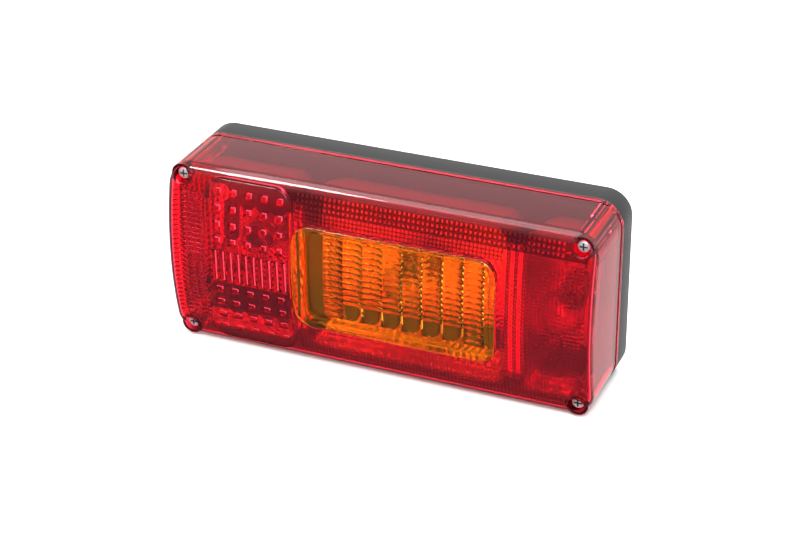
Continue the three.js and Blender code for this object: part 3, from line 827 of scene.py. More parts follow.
@dataclass
class Housing:
    """The black tray that lies on the vehicle, with its gasket."""

    corner: float = 14.0
    floor: float = 2.5
    rim: float = 14.5
    lip: float = 1.0
    groove: float = 2.0
    spigot_inset: float = 3.3
    spigot_wall: float = 1.8
    boss_radius: float = 5.5
    screw_radius: float = 1.95
    post_radius: float = 6.2
    bolt_boss_radius: float = 8.5
    bolt_boss_rise: float = 4.5
    bolt_flats: float = 10.0
    bolt_radius: float = 3.0
    peg_radius: float = 3.0
    peg_height: float = 28.0
    grommet_hole: float = 7.0
    relief: float = 1.0
    relief_rib: float = 4.0
    relief_border: float = 8.0

    def wall(self, outer: float, inner: float, back: float, front: float) -> Workpiece:
        """A wall that follows the lamp's outline between two insets.

        Args:
            outer: inset of its outside.
            inner: inset of its inside.
            back: depth of its foot.
            front: depth of its top.

        Returns:
            The wall.
        """
        whole = Extent.of("base_housing")
        outside = whole.grown(-outer).between(back, front)
        inside = whole.grown(-inner).between(back - 1, front + 1)
        ring = Workpiece.block(outside, self.corner - outer, 12)
        return ring.cut(Workpiece.block(inside, self.corner - inner, 12))

    def reliefs(self) -> list[Workpiece]:
        """The shallow pockets between the ribs of the mounting face."""
        whole = Extent.of("base_housing")
        width = (whole.width - 2 * self.relief_border - 3 * self.relief_rib) / 4
        height = (whole.height - 2 * self.relief_border - self.relief_rib) / 2
        pockets = []
        for column in range(4):
            left = whole.left + self.relief_border + column * (width + self.relief_rib)
            for bottom in (-self.relief_rib / 2 - height, self.relief_rib / 2):
                pocket = Extent(left, left + width, bottom, bottom + height, -1, self.relief)
                pockets.append(Workpiece.block(pocket, self.relief_rib, 5))
        return pockets

    def build(self) -> None:
        """Models the tray and its gasket."""
        whole = Extent.of("base_housing")
        tray = Workpiece.block(whole.between(0, self.rim), self.corner, 12)
        for front, ease in ((False, 0.8), (True, 0.35)):
            tray.pick(Element.EDGES, lambda edge: is_rim(edge, front))
            tray.bevel(ease, 3)
        hollow = whole.grown(-self.spigot_inset).between(self.floor, self.rim + 1)
        tray.cut(Workpiece.block(hollow, self.corner - self.spigot_inset, 12))
        inner = self.spigot_inset + self.spigot_wall
        spigot = self.wall(self.spigot_inset, inner, self.floor - 0.5, whole.front)
        screws = lens_screws()
        for screw in screws:
            reach = (self.post_radius + FIT, self.rim, whole.front + 1)
            spigot.cut(Workpiece.rod(*reach, screw.x, screw.y))
        tray.join(spigot)
        bolts = [Extent.of(f"mounting_bolt_{side}").x for side in ("left", "right")]
        boss_top = self.floor + self.bolt_boss_rise
        for screw in screws:
            tray.join(Workpiece.rod(self.boss_radius, self.floor - 0.5, self.rim, screw.x, screw.y))
        for x in bolts:
            tray.join(Workpiece.rod(self.bolt_boss_radius, self.floor - 0.5, boss_top, x, 0))
        for side in Side:
            bowl = Extent.of(f"reflector_{side.value}")
            for y in (-self.peg_height, self.peg_height):
                tray.join(Workpiece.rod(self.peg_radius, self.floor - 0.5, bowl.back - FIT, bowl.x, y))
        groove = self.wall(self.lip, self.spigot_inset, self.rim - self.groove, self.rim + 1)
        tray.cut(groove)
        for screw in screws:
            bore = self.screw_radius + FIT
            tray.cut(Workpiece.rod(bore, self.floor + 1, self.rim + 1, screw.x, screw.y, 24))
        hexagon = (self.bolt_flats + 2 * FIT) / math.sqrt(3)
        for x in bolts:
            tray.cut(Workpiece.rod(self.bolt_radius + FIT, -1, self.floor + 1, x, 0, 32))
            tray.cut(Workpiece.rod(hexagon, self.floor, boss_top + 1, x, 0, 6))
        grommet = Extent.of("cable_grommet")
        tray.cut(Workpiece.rod(self.grommet_hole, -1, self.floor + 1, grommet.x, grommet.y))
        for pocket in self.reliefs():
            for x in bolts:
                pocket.cut(Workpiece.rod(self.bolt_boss_radius, -2, 2, x, 0))
            pocket.cut(Workpiece.rod(grommet.width / 2 + 2, -2, 2, grommet.x, grommet.y))
            tray.cut(pocket)
        tray.set_down("base_housing", BLACK_ABS, "housing", "housing_abs")
        seal = Extent.of("lens_seal")
        gasket = self.wall(self.lip + FIT, self.spigot_inset - FIT, seal.back, seal.front)
        gasket.set_down("lens_seal", BLACK_EPDM, "housing", "rubber")


# ---------------------------------------------------------------- lens


@dataclass(frozen=True)
class Optic:
    """A field of small moulded cushions, bars or dots on the inside of a lens."""

    left: float
    right: float
    bottom: float
    top: float
    pitch_x: float
    pitch_y: float
    rise: float
    land: float = 0.12  # flat between the cushions, as a share of the smaller pitch
    steps: tuple[tuple[float, float], ...] = ((0.16, 0.6), (0.14, 0.4))  # shares of pitch and rise


@dataclass
class Crown:
    """The curved front that the lens and its inserts share."""

    front: float = 62.0
    radius: float = 178.0
    row: float = 3.4  # height of each flat strip of the curve

    def depth(self, y: float, under: float = 0) -> float:
        """Depth of the surface at a height.

        Args:
            y: the height.
            under: distance below the outer skin.

        Returns:
            The depth in front of the mounting face.
        """
        return self.front - self.radius + math.sqrt((self.radius - under) ** 2 - y * y)

    def score(self, work: Workpiece, bottom: float, top: float) -> None:
        """Scores a piece into the strips that the curve is made of.

        Args:
            work: the piece.
            bottom: height of the first strip.
            top: height of the last one.
        """
        count = max(2, round((top - bottom) / self.row))
        for i in range(1, count):
            y = bottom + (top - bottom) * i / count
            work.bisect(Vector((0, y, 0)), Vector((0, 1, 0)))
        work.tidy()

    def plate(self, outline: Extent, radius: float, under: float, thickness: float) -> Workpiece:
        """A slice of the front between two depths below its skin.

        Args:
            outline: of the slice, seen from the front.
            radius: of its corners.
            under: of its front, below the skin.
            thickness: front to back.

        Returns:
            The slice.
        """
        work = Workpiece.block(outline.between(0, 1), radius, 10)
        self.score(work, outline.bottom + radius, outline.top - radius)

        def lift(place: Vector) -> Vector:
            """Curves the flat slice to the crown."""
            below = under if place.z > 0.5 else under + thickness
            return Vector((place.x, place.y, self.depth(place.y, below)))

        work.reshape(lift)
        return work

    def hood(self, outline: Extent, radius: float, under: float, edge: float) -> Workpiece:
        """A box with the crowned front, rounded where the front meets the walls.

        Args:
            outline: its outline and the depth of its back.
            radius: of its corners.
            under: of its front, below the skin.
            edge: radius of the rounding.

        Returns:
            The box.
        """
        foot = self.front - edge
        work = Workpiece.block(outline.between(outline.back, foot), radius, 12)
        work.pick(Element.FACES, lambda face: face.normal.z > 0.9)
        steps = [math.radians(15 * i) for i in range(7)]
        for before, after in zip(steps, steps[1:]):
            inwards = edge * (math.cos(before) - math.cos(after))
            forwards = edge * (math.sin(after) - math.sin(before))
            bpy.ops.mesh.inset(thickness=inwards, depth=forwards, use_individual=False)
        work.tidy()
        self.score(work, outline.bottom + radius, outline.top - radius)

        def lift(place: Vector) -> Vector:
            """Curves the front and leaves the walls as they are."""
            if place.z < foot - 0.5:
                return place
            return place + Vector((0, 0, self.depth(place.y, under) - self.front))

        work.reshape(lift)
        return work

    def optic(self, optic: Optic, under: float) -> Workpiece:
        """A thin plate that carries an optic field, to be joined to the inside of a lens.

        Args:
            optic: the field.
            under: depth of the lens's inner skin below its outer one.

        Returns:
            The plate.
        """
        width, height = optic.right - optic.left, optic.top - optic.bottom
        columns = max(1, round(width / optic.pitch_x))
        rows = max(1, round(height / optic.pitch_y))
        work = Workpiece.from_primitive(
            bpy.ops.mesh.primitive_grid_add,
            x_subdivisions=columns,
            y_subdivisions=rows,
            size=1,
            location=((optic.left + optic.right) / 2, (optic.bottom + optic.top) / 2, 1),
            stretch=(width, height, 1),
        )
        work.edit(Element.FACES)
        bpy.ops.mesh.select_all(action="SELECT")
        bpy.ops.mesh.extrude_region_move(TRANSFORM_OT_translate={"value": (0, 0, -1.15)})
        work.tidy()
        work.pick(Element.FACES, lambda face: face.normal.z < -0.9)
        cell = min(width / columns, height / rows)
        bpy.ops.mesh.inset(thickness=cell * optic.land, depth=0, use_individual=True)
        for share, climb in optic.steps:
            rise = optic.rise * climb
            bpy.ops.mesh.inset(thickness=cell * share, depth=rise, use_individual=True)
        work.tidy()
        work.reshape(lambda p: Vector((p.x, p.y, p.z + self.depth(p.y, under))))
        return work


@dataclass
class Lens:
    """The red lens cover with its amber and red inserts."""

    crown: Crown = field(default_factory=Crown)
    corner: float = 14.0
    wall: float = 2.5
    edge: float = 5.0
    flange_height: float = 3.0
    flange_step: float = 0.5
    well_radius: float = 4.6
    well_floor: float = 49.47
    post_radius: float = 6.2
    screw_radius: float = 1.95
    amber_corner: float = 10.5
    amber_sight_corner: float = 6.0
    amber_sink: float = 2.0
    amber_rim: tuple[float, float, float, float] = (7.5, 3.2, 4.5, 2.3)
    insert_corner: float = 9.0
    end_ribs: int = 15
    end_rib_pitch: float = 2.2
    optics_right: float = 103.0  # where the fields over the bowls end
    dots_foot: float = 31.4  # of the fine dots above the amber insert
    band_foot: float = 38.2  # of the reflector band above them
    band_top: float = 47.2
    dots_painted_shade_depth: float = 0.25  # their flat ground, which gets painted shade, lies less deep than this below the inner skin
    band_painted_shade_depth: float = 0.36  # and the band's ground and slopes, also given painted shade, less deep than this
    flute_lead: float = 9.3  # plain strip at the left of the flutes
    flutes: int = 8
    flute_tail: float = 3.6
    flute_rise: float = 1.3
    cushion_rows: int = 15
    cushion_rise: float = 0.4
    plain_foot: float = 10.0  # of the inner flutes, which have no cushions this far up

    def fields(self) -> list[Optic]:
        """The optic fields moulded inside the cover."""
        amber = Extent.of("amber_lens")
        left, right = amber.left + 1, self.optics_right
        band_steps = ((0.1, 0.5), (0.05, 0.5))
        return [
            Optic(amber.right + 2.5, right, -31, 37.5, 2.2, 2.2, 0.28),
            Optic(right + 1, 113.5, -36, 37.5, 2.2, 2.2, 0.28),
            Optic(left, right, -47, -31.5, 2.0, 2.0, 0.3),
            Optic(left, right, self.band_foot, self.band_top, 2.6, 2.6, 0.2, 0.2, band_steps),
            Optic(left, amber.right + 2, self.dots_foot, 37.8, 2.2, 2.2, 0.28),
            Optic(-116.6, -98, -37, 37, 4.6, 2.7, 0.45),
        ]

    def cover(self) -> None:
        """Models the red cover."""
        whole = Extent.of("lens_cover")
        amber = Extent.of("amber_lens")
        step, wall = self.flange_step, self.wall
        cover = self.crown.hood(whole.grown(-step), self.corner - step, 0, self.edge)
        flange = Workpiece.block(
            whole.between(whole.back, whole.back + self.flange_height), self.corner, 12
        )
        flange.pick(Element.EDGES, is_rim)
        flange.bevel(0.35, 2)
        cover.join(flange)
        hollow_outline = whole.grown(-step - wall).between(whole.back - 1, whole.front)
        cover.cut(self.crown.hood(hollow_outline, self.corner - step - wall, wall, self.edge - wall))
        screws = lens_screws()
        for screw in screws:
            top = self.crown.depth(abs(screw.y) + 4.5) - 0.6
            cover.join(Workpiece.rod(self.post_radius, whole.back, top, screw.x, screw.y))
        for screw in screws:
            cover.cut(Workpiece.rod(self.well_radius, self.well_floor, whole.front + 1, screw.x, screw.y))
            bore = self.screw_radius + 2 * FIT
            cover.cut(Workpiece.rod(bore, whole.back - 1, self.well_floor + 1, screw.x, screw.y, 32))
        for node, radius in (("amber_lens", self.amber_corner), ("red_insert_lens", self.insert_corner)):
            window = Extent.of(node).grown(FIT).between(30, whole.front + 1)
            cover.cut(Workpiece.block(window, radius + FIT, 10))
        for optic in self.fields():
            cover.join(self.crown.optic(optic, wall))
        for i in range(self.end_ribs):
            cover.join(self.rib(whole.right - step - wall, whole.back + 7 + i * self.end_rib_pitch))
        cover.set_down("lens_cover", RED_ACRYLIC, "lens", "red_lens")

        def painted_shade_ground(place: Vector, normal: Vector) -> bool:
            """Whether a face is the ground of the reflector band or of the dots below it, which gets
            painted shade.
            """
            foot = self.dots_foot if place.x < amber.right + 2 else self.band_foot
            depth = self.band_painted_shade_depth if place.z > self.band_foot else self.dots_painted_shade_depth
            across = amber.left + 1 < place.x < self.optics_right
            inward = normal.y > 0.1 and self.below_skin(place) < wall + depth
            return across and foot < place.z < self.band_top and inward

        # Painted shade: the ground of the reflector band and of the fine dots gets the darker acrylic.
        cover.paint(RED_ACRYLIC_PAINTED_SHADE, painted_shade_ground)

    def below_skin(self, place: Vector) -> float:
        """How far a point of the model lies below the outer skin, in millimetres."""
        return self.crown.depth(place.z) + place.y

    def rib(self, x: float, depth: float) -> Workpiece:
        """One upright rib on the inside of the end wall.

        Args:
            x: of the wall's inner face.
            depth: of the rib.

        Returns:
            The rib.
        """
        return Workpiece.from_primitive(
            bpy.ops.mesh.primitive_cylinder_add,
            vertices=12,
            radius=self.end_rib_pitch * 0.42,
            depth=72,
            location=(x + 0.35, 0, depth),
            rotation=(math.pi / 2, 0, 0),
        )

    def flute_plate(self, sight: Extent) -> Workpiece:
        """The fluted back of the amber insert: upright flutes, each broken into small cushions.

        Args:
            sight: outline of the sunk middle.

        Returns:
            A thin plate, to be joined to the back of the insert.
        """
        left, right = sight.left + self.flute_lead, sight.right - self.flute_tail
        bottom, top = sight.bottom + 3, sight.top - 0.5
        pitch_x, pitch_y = (right - left) / self.flutes, (top - bottom) / self.cushion_rows
        work = Workpiece.from_primitive(
            bpy.ops.mesh.primitive_grid_add,
            x_subdivisions=self.flutes * 12,
            y_subdivisions=self.cushion_rows * 6,
            size=1,
            location=((left + right) / 2, (bottom + top) / 2, 1),
            stretch=(right - left, top - bottom, 1),
        )
        work.edit(Element.FACES)
        bpy.ops.mesh.select_all(action="SELECT")
        bpy.ops.mesh.extrude_region_move(TRANSFORM_OT_translate={"value": (0, 0, -1.15)})
        work.tidy()
        under = self.wall + self.amber_sink

        def bulge(place: Vector) -> Vector:
            """Swells the back of the plate into flutes and cushions."""
            depth = place.z + self.crown.depth(place.y, under)
            if place.z < 0:
                flute, across = divmod((place.x - left) / pitch_x, 1)
                up = ((place.y - bottom) / pitch_y) % 1
                depth -= self.flute_rise * 4 * across * (1 - across)
                inner = 0 < flute < self.flutes - 1
                if not inner or place.y > bottom + self.plain_foot:
                    split = 1 if flute < 3 else 2
                    ripple = abs(math.sin(math.pi * split * across)) if split > 1 else 1
                    depth -= self.cushion_rise * 4 * up * (1 - up) * ripple
            return Vector((place.x, place.y, depth))

        work.reshape(bulge)
        return work

    def amber(self) -> None:
        """Models the amber insert: a rim round a sunk, fluted middle."""
        outline = Extent.of("amber_lens")
        left, right, bottom, top = self.amber_rim
        sight = Extent(
            outline.left + left, outline.right - right, outline.bottom + bottom, outline.top - top, 0, 1
        )
        thickness = self.wall + self.amber_sink
        insert = self.crown.plate(outline, self.amber_corner, 0, thickness)
        insert.pick(Element.EDGES, is_rim)
        insert.bevel(0.5, 3)
        insert.tidy()
        sink = self.crown.plate(sight, self.amber_sight_corner, -1, 1 + self.amber_sink)
        insert.cut(sink)
        insert.join(self.flute_plate(sight))
        insert.set_down("amber_lens", AMBER_ACRYLIC, "lens", "amber_lens")

    def red_insert(self) -> None:
        """Models the red insert: dots above and below, and upright bars before the bulb."""
        outline = Extent.of("red_insert_lens")
        insert = self.crown.plate(outline, self.insert_corner, 0, self.wall)
        insert.pick(Element.EDGES, is_rim)
        insert.bevel(0.5, 3)
        insert.tidy()
        left, right = outline.left + 2.3, outline.right - 2.3
        dots = {"pitch_x": 9.0, "pitch_y": 9.0, "rise": 0.9, "land": 0.25, "steps": ((0.06, 0.5),) * 2}
        insert.join(
            self.crown.optic(Optic(left, right, 8, 44, **dots), self.wall),
            self.crown.optic(Optic(left, right, -45, -12.5, **dots), self.wall),
            self.crown.optic(Optic(left, right, -12, 7.5, 4.4, 19.5, 1.0, 0.1), self.wall),
        )
        insert.set_down("red_insert_lens", RED_ACRYLIC, "lens", "red_lens")
        # The patches whose ground between the dots gets painted shade.
        patches = (
            Extent(left + 12, right, 32, 44, 0, 0),
            Extent(left + 9, left + 18, 15, 32, 0, 0),
            Extent(left + 12, right, -30, -12.5, 0, 0),
        )

        def painted_shade_ground(place: Vector, normal: Vector) -> bool:
            """Whether a face lies between the dots of a patch, which gets painted shade."""
            across = any(
                patch.left < place.x < patch.right and patch.bottom < place.z < patch.top
                for patch in patches
            )
            return across and normal.y > 0.1 and self.below_skin(place) < self.wall + 0.8

        # Painted shade on the ground of the three patches.
        insert.paint(RED_ACRYLIC_PAINTED_SHADE, painted_shade_ground)

    def build(self) -> None:
        """Models the cover and its two inserts."""
        self.cover()
        self.amber()
        self.red_insert()


@dataclass
class LensScrews:
    """The four cross-recessed pan-head screws, each with its sealing washer."""

    shank: float = 1.95
    recess_reach: float = 0.62  # of the head's radius
    recess_half: float = 0.13
    recess_depth: float = 1.5
    thread_rise: float = 0.25
    thread_pitch: float = 1.3

    def screw(self, box: Extent, seat: float) -> Workpiece:
        """One screw.

        Args:
            box: its box.
            seat: depth of the underside of its head.

        Returns:
            The screw.
        """
        radius = box.width / 2
        head = box.front - seat
        profile = [(0.3, box.back), (self.shank - 0.3, box.back + self.shank)]
        depth = box.back + self.shank
        while depth + self.thread_pitch < seat - 3:
            profile.append((self.shank, depth + self.thread_pitch / 2))
            depth += self.thread_pitch
            profile.append((self.shank - self.thread_rise, depth))
        profile += [
            (self.shank - 0.1, depth + 0.3),
            (self.shank - 0.1, seat),
            (radius - 0.1, seat),
            (radius, seat + 0.12 * head),
            (radius, seat + 0.45 * head),
            (radius * 0.94, seat + 0.66 * head),
            (radius * 0.8, seat + 0.83 * head),
            (radius * 0.5, seat + 0.96 * head),
            (0.05, box.front),
        ]
        work = Workpiece.turned(profile, box.x, box.y, 40)
        arm, half = radius * self.recess_reach, radius * self.recess_half
        for reach_x, reach_y in ((arm, half), (half, arm)):
            slot = Extent(
                box.x - reach_x, box.x + reach_x, box.y - reach_y, box.y + reach_y,
                box.front - self.recess_depth, box.front + 1,
            )
            work.cut(Workpiece.block(slot))
        return work

    def shade_recess(self, screw: Workpiece, box: Extent) -> None:
        """Gives the driver's recess its painted shade, a darker and duller zinc.

        Args:
            screw: the screw.
            box: its box.
        """
        reach = box.width / 2 * self.recess_reach * 1.05

        def inside(place: Vector, normal: Vector) -> bool:
            """Whether a face belongs to the recess."""
            near = math.hypot(place.x - box.x, place.z - box.y) < reach
            return near and box.front - self.recess_depth - 0.1 < -place.y < box.front - 0.3

        # Painted shade: the recess walls and floor get the darker zinc.
        screw.paint(ZINC_PAINTED_SHADE, inside)

    def build(self) -> None:
        """Models one screw and one washer, and copies them to the other corners."""
        first = Extent.of(f"lens_screw_{Corner.TOP_LEFT.value}")
        ring = Extent.of(f"screw_seal_{Corner.TOP_LEFT.value}")
        screw = self.screw(first, ring.front + FIT)
        washer = Workpiece.ring(self.shank + FIT, ring.width / 2, ring.back, ring.front, ring.x, ring.y)
        for corner in Corner:
            place = Extent.of(f"lens_screw_{corner.value}")
            shift = (place.x - first.x, place.y - first.y)
            node = f"lens_screw_{corner.value}"
            copied = screw.copy(*shift).set_down(node, BRIGHT_ZINC, node, "zinc_steel")
            self.shade_recess(copied, place)
            node = f"screw_seal_{corner.value}"
            washer.copy(*shift).set_down(node, BLACK_EPDM, node, "rubber")
        scrap(screw, washer)


# ---------------------------------------------------------------- reflectors


@dataclass
class Reflectors:
    """The three metallised bowls."""

    wall: float = 1.5
    corner: float = 8.0
    taper_x: float = 6.0
    taper_y: float = 10.0
    curve: float = 1.6  # how late the walls flare towards the mouth
    levels: int = 9
    socket_gap: float = 1.0
    post_radius: float = 6.2
    lip_gap: float = 1.4
    # Depths between which the bowls get painted shade, in place of the metallising.
    painted_shade_from: float = 12.5
    painted_shade_to: tuple[float, float, float] = (34.0, 25.0, 34.0)  # left, middle, right
    painted_shade_mouth: float = 30.0  # of the middle bowl's left wall

    def lips(self, side: Side, box: Extent) -> list[Workpiece]:
        """The lips at a bowl's mouth, which almost meet those of its neighbours.

        Args:
            side: which bulb it stands behind.
            box: of the bowl.

        Returns:
            One lip for each neighbour.
        """
        lips = []
        for other in Side:
            near = Extent.of(f"reflector_{other.value}")
            middle = (box.right + near.left) / 2 if near.x > box.x else (box.left + near.right) / 2
            if other is side or abs(middle - box.x) > box.width / 2 + 5:
                continue
            start = box.right - self.wall / 2 if near.x > box.x else box.left + self.wall / 2
            end = middle - math.copysign(self.lip_gap / 2, near.x - box.x)
            half = box.height / 2 - self.corner
            lip = Extent(min(start, end), max(start, end), -half, half, box.front - self.wall, box.front)
            lips.append(Workpiece.block(lip, 0.6, 3))
        return lips

    def bowl(self, side: Side) -> None:
        """Models one bowl.

        Args:
            side: which bulb it stands behind.
        """
        node = f"reflector_{side.value}"
        box = Extent.of(node)
        work = Workpiece.block(box, self.corner, 8)
        rise = box.front - box.back
        tapers = [1 - i / self.levels for i in range(self.levels)]
        heights = [box.back + rise * (1 - taper) ** self.curve for taper in tapers]
        for height in heights[1:]:
            work.bisect(Vector((0, 0, height)), Vector((0, 0, 1)))
        for taper, height in zip(tapers, heights):
            work.pick(Element.VERTICES, lambda vertex: abs(vertex.co.z - height) < 0.01)
            share_x = 1 - 2 * self.taper_x * taper / box.width
            share_y = 1 - 2 * self.taper_y * taper / box.height
            centre = (box.x, box.y, height)
            bpy.ops.transform.resize(value=(share_x, share_y, 1), center_override=centre)
        work.pick(Element.FACES, lambda face: face.normal.z > 0.99)
        bpy.ops.mesh.delete(type="FACE")
        work.pick(Element.EDGES, lambda edge: is_rim(edge, False))
        work.bevel(2.0, 4)
        bpy.ops.object.mode_set(mode="OBJECT")
        work.activate()
        solidify = work.piece.modifiers.new("wall", "SOLIDIFY")
        solidify.thickness = self.wall
        solidify.offset = -1
        bpy.ops.object.modifier_apply(modifier=solidify.name)
        socket = Extent.of(f"socket_insulator_{side.value}")
        work.cut(Workpiece.rod(socket.width / 2 + self.socket_gap, 0, box.front, box.x, 0))
        for post in lens_screws():
            if box.left - 8 < post.x < box.right + 8:
                reach = (self.post_radius + 2 * FIT, 0, box.front + 1)
                work.cut(Workpiece.rod(*reach, post.x, post.y))
        work.join(*self.lips(side, box))
        work.set_down(node, metallised(side, box.x), "housing", "silvered")

        painted_shade_to = self.painted_shade_to[list(Side).index(side)]

        def in_painted_shade(place: Vector, normal: Vector) -> bool:
            """Whether a face lies where the bowl gets painted shade."""
            if side is Side.MIDDLE and normal.x > 0.5 and place.x < box.x:
                return -place.y > self.painted_shade_mouth
            low_wall = normal.z > 0.5 and place.z < box.bottom + self.taper_y + 2
            return low_wall and self.painted_shade_from < -place.y < painted_shade_to

        # Painted shade: the lower walls and the middle bowl's left mouth are black.
        work.paint(BOWL_PAINTED_SHADE, in_painted_shade)

        def outside(place: Vector, normal: Vector) -> bool:
            """Whether a face looks away from the bulb."""
            outwards = (place.x - box.x) * normal.x + (place.z - box.y) * normal.z
            return outwards > 1 or normal.y > 0.9

        work.paint(BARE_GREY, outside)

    def build(self) -> None:
        """Models the three bowls."""
        for side in Side:
            self.bowl(side)


# ---------------------------------------------------------------- sockets, contacts and bulbs


@dataclass
class Sockets:
    """The bayonet sockets with their insulators, springs, buttons and brass strips."""

    wall: float = 0.7
    strip: float = 0.8
    strip_width: float = 6.0
    slot_half: float = 1.3
    push: float = 2.0
    twist: float = math.radians(20)
    spring_wire: float = 0.3
    spring_turns: float = 2.5
    spring_points: int = 90
    outer: float = 8.6
    pin_rise: float = 6.6  # of the bulb's pins over the foot of its cap
    ease: float = 0.15
    dish: float = 0.4
    dish_foot: float = 3.2
    dish_mouth: float = 3.9

    def shell(self, box: Extent, pin_depth: float) -> Workpiece:
        """A socket shell: a drawn tube with two bayonet slots, a rolled lip and an earth ear.

        Args:
            box: of the shell with its ear.
            pin_depth: where the bulb's pins rest.

        Returns:
            The shell, about the lamp's own axis.
        """
        outer = box.width / 2
        inner = outer - self.wall
        tube = [
            (inner, box.back),
            (outer - self.ease, box.back),
            (outer, box.back + self.ease),
            (outer, box.front - 0.2),
            (outer - 0.2, box.front),
            (inner + 0.1, box.front),
            (inner, box.front - 0.2),
        ]
        work = Workpiece.turned(tube, sides=64, solid=False)
        half = self.strip_width / 2
        ear = Extent(-half, half, outer - self.wall / 2, box.top, box.back, box.back + self.wall)
        work.join(Workpiece.block(ear))
        floor, roof = pin_depth - self.push - self.slot_half, pin_depth + self.slot_half
        for start in (0, math.pi):
            for step in range(6):
                top = box.front + 1 if step == 5 else roof
                leg = Extent(outer / 2, outer * 1.5, -self.slot_half, self.slot_half, floor, top)
                work.cut(Workpiece.block(leg).turn(start + self.twist * step / 5))
        return work

    def strips(self, side: Side) -> Workpiece:
        """A feed strip: a flat under the spring and an upright blade for the supply wire.

        Args:
            side: its bulb.

        Returns:
            The strip.
        """
        box = Extent.of(f"feed_strip_{side.value}")
        flat = Workpiece.block(box.between(box.back, box.back + self.strip))
        blade = Extent(box.left, box.right, box.bottom, box.bottom + self.strip, box.back, box.front)
        flat.join(Workpiece.block(blade))
        flat.pick(Element.EDGES, lambda edge: is_upright(edge) and edge.calc_face_angle_signed(0) > 1)
        flat.bevel(0.15, 2)
        flat.tidy()
        return flat

    def earth(self) -> None:
        """Models the brass strip past all three sockets, with a tab at each ear."""
        box = Extent.of("earth_strip")
        bar = Workpiece.block(box.between(box.back, box.back + self.strip), 1.2, 4)
        half = self.strip_width / 2
        for side in Side:
            x = Extent.of(f"bulb_cap_{side.value}").x
            tab = Extent(x - half, x + half, box.bottom, box.bottom + self.strip, box.back, box.front)
            bar.join(Workpiece.block(tab))
        bar.set_down("earth_strip", STAMPED_BRASS, "housing", "brass")

    def spring(self, box: Extent) -> Workpiece:
        """The contact spring, with flat end turns.

        Args:
            box: of the spring.

        Returns:
            The spring, at its own place.
        """
        radius = box.width / 2 - self.spring_wire
        back, front = box.back + self.spring_wire, box.front - self.spring_wire
        places = []
        for i in range(self.spring_points + 1):
            share = i / self.spring_points
            angle = FULL_TURN * self.spring_turns * share
            rise = share * share * (3 - 2 * share)
            depth = back + (front - back) * rise
            places.append(Vector((radius * math.cos(angle), radius * math.sin(angle), depth)))
        return Workpiece.wire(places, self.spring_wire, 10)

    def build(self) -> None:
        """Models one set and copies it to each bulb."""
        self.earth()
        first = Extent.of("bulb_socket_left")
        spring_box = Extent.of("contact_spring_left")
        button_box = Extent.of("contact_button_left")
        insulator_box = Extent.of("socket_insulator_left")
        pin_depth = Extent.of("bulb_cap_left").back + self.pin_rise
        shell_box = Extent(-self.outer, self.outer, first.bottom, first.top, first.back, first.front)
        shell = self.shell(shell_box, pin_depth)
        spring = self.spring(spring_box)
        radius, top = button_box.width / 2, button_box.front
        button = Workpiece.turned(
            [
                (radius - self.ease, button_box.back),
                (radius, button_box.back + self.ease),
                (radius, top - self.ease),
                (radius - self.ease, top),
                (self.dish_mouth, top),
                (self.dish_foot, top - self.dish),
                (0.05, top - self.dish),
            ]
        )
        insulator = Workpiece.ring(
            radius + 3 * FIT, insulator_box.width / 2, insulator_box.back, insulator_box.front
        )
        for side in Side:
            x = Extent.of(f"bulb_cap_{side.value}").x
            name = side.value
            shell.copy(x).set_down(f"bulb_socket_{name}", DRAWN_NICKEL, "housing", "nickel_steel")
            node = f"socket_insulator_{name}"
            insulator.copy(x).set_down(node, PHENOLIC_BOARD, "housing", "phenolic")
            self.strips(side).set_down(f"feed_strip_{name}", STAMPED_BRASS, "housing", "brass")
            node = f"contact_spring_{name}"
            coil = spring.copy(x).set_down(node, SPRING_STEEL, "housing", "spring_steel")
            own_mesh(coil.piece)
            node = f"contact_button_{name}"
            button.copy(x).set_down(node, PHENOLIC_BOARD, node, "phenolic")
        scrap(shell, insulator, spring, button)


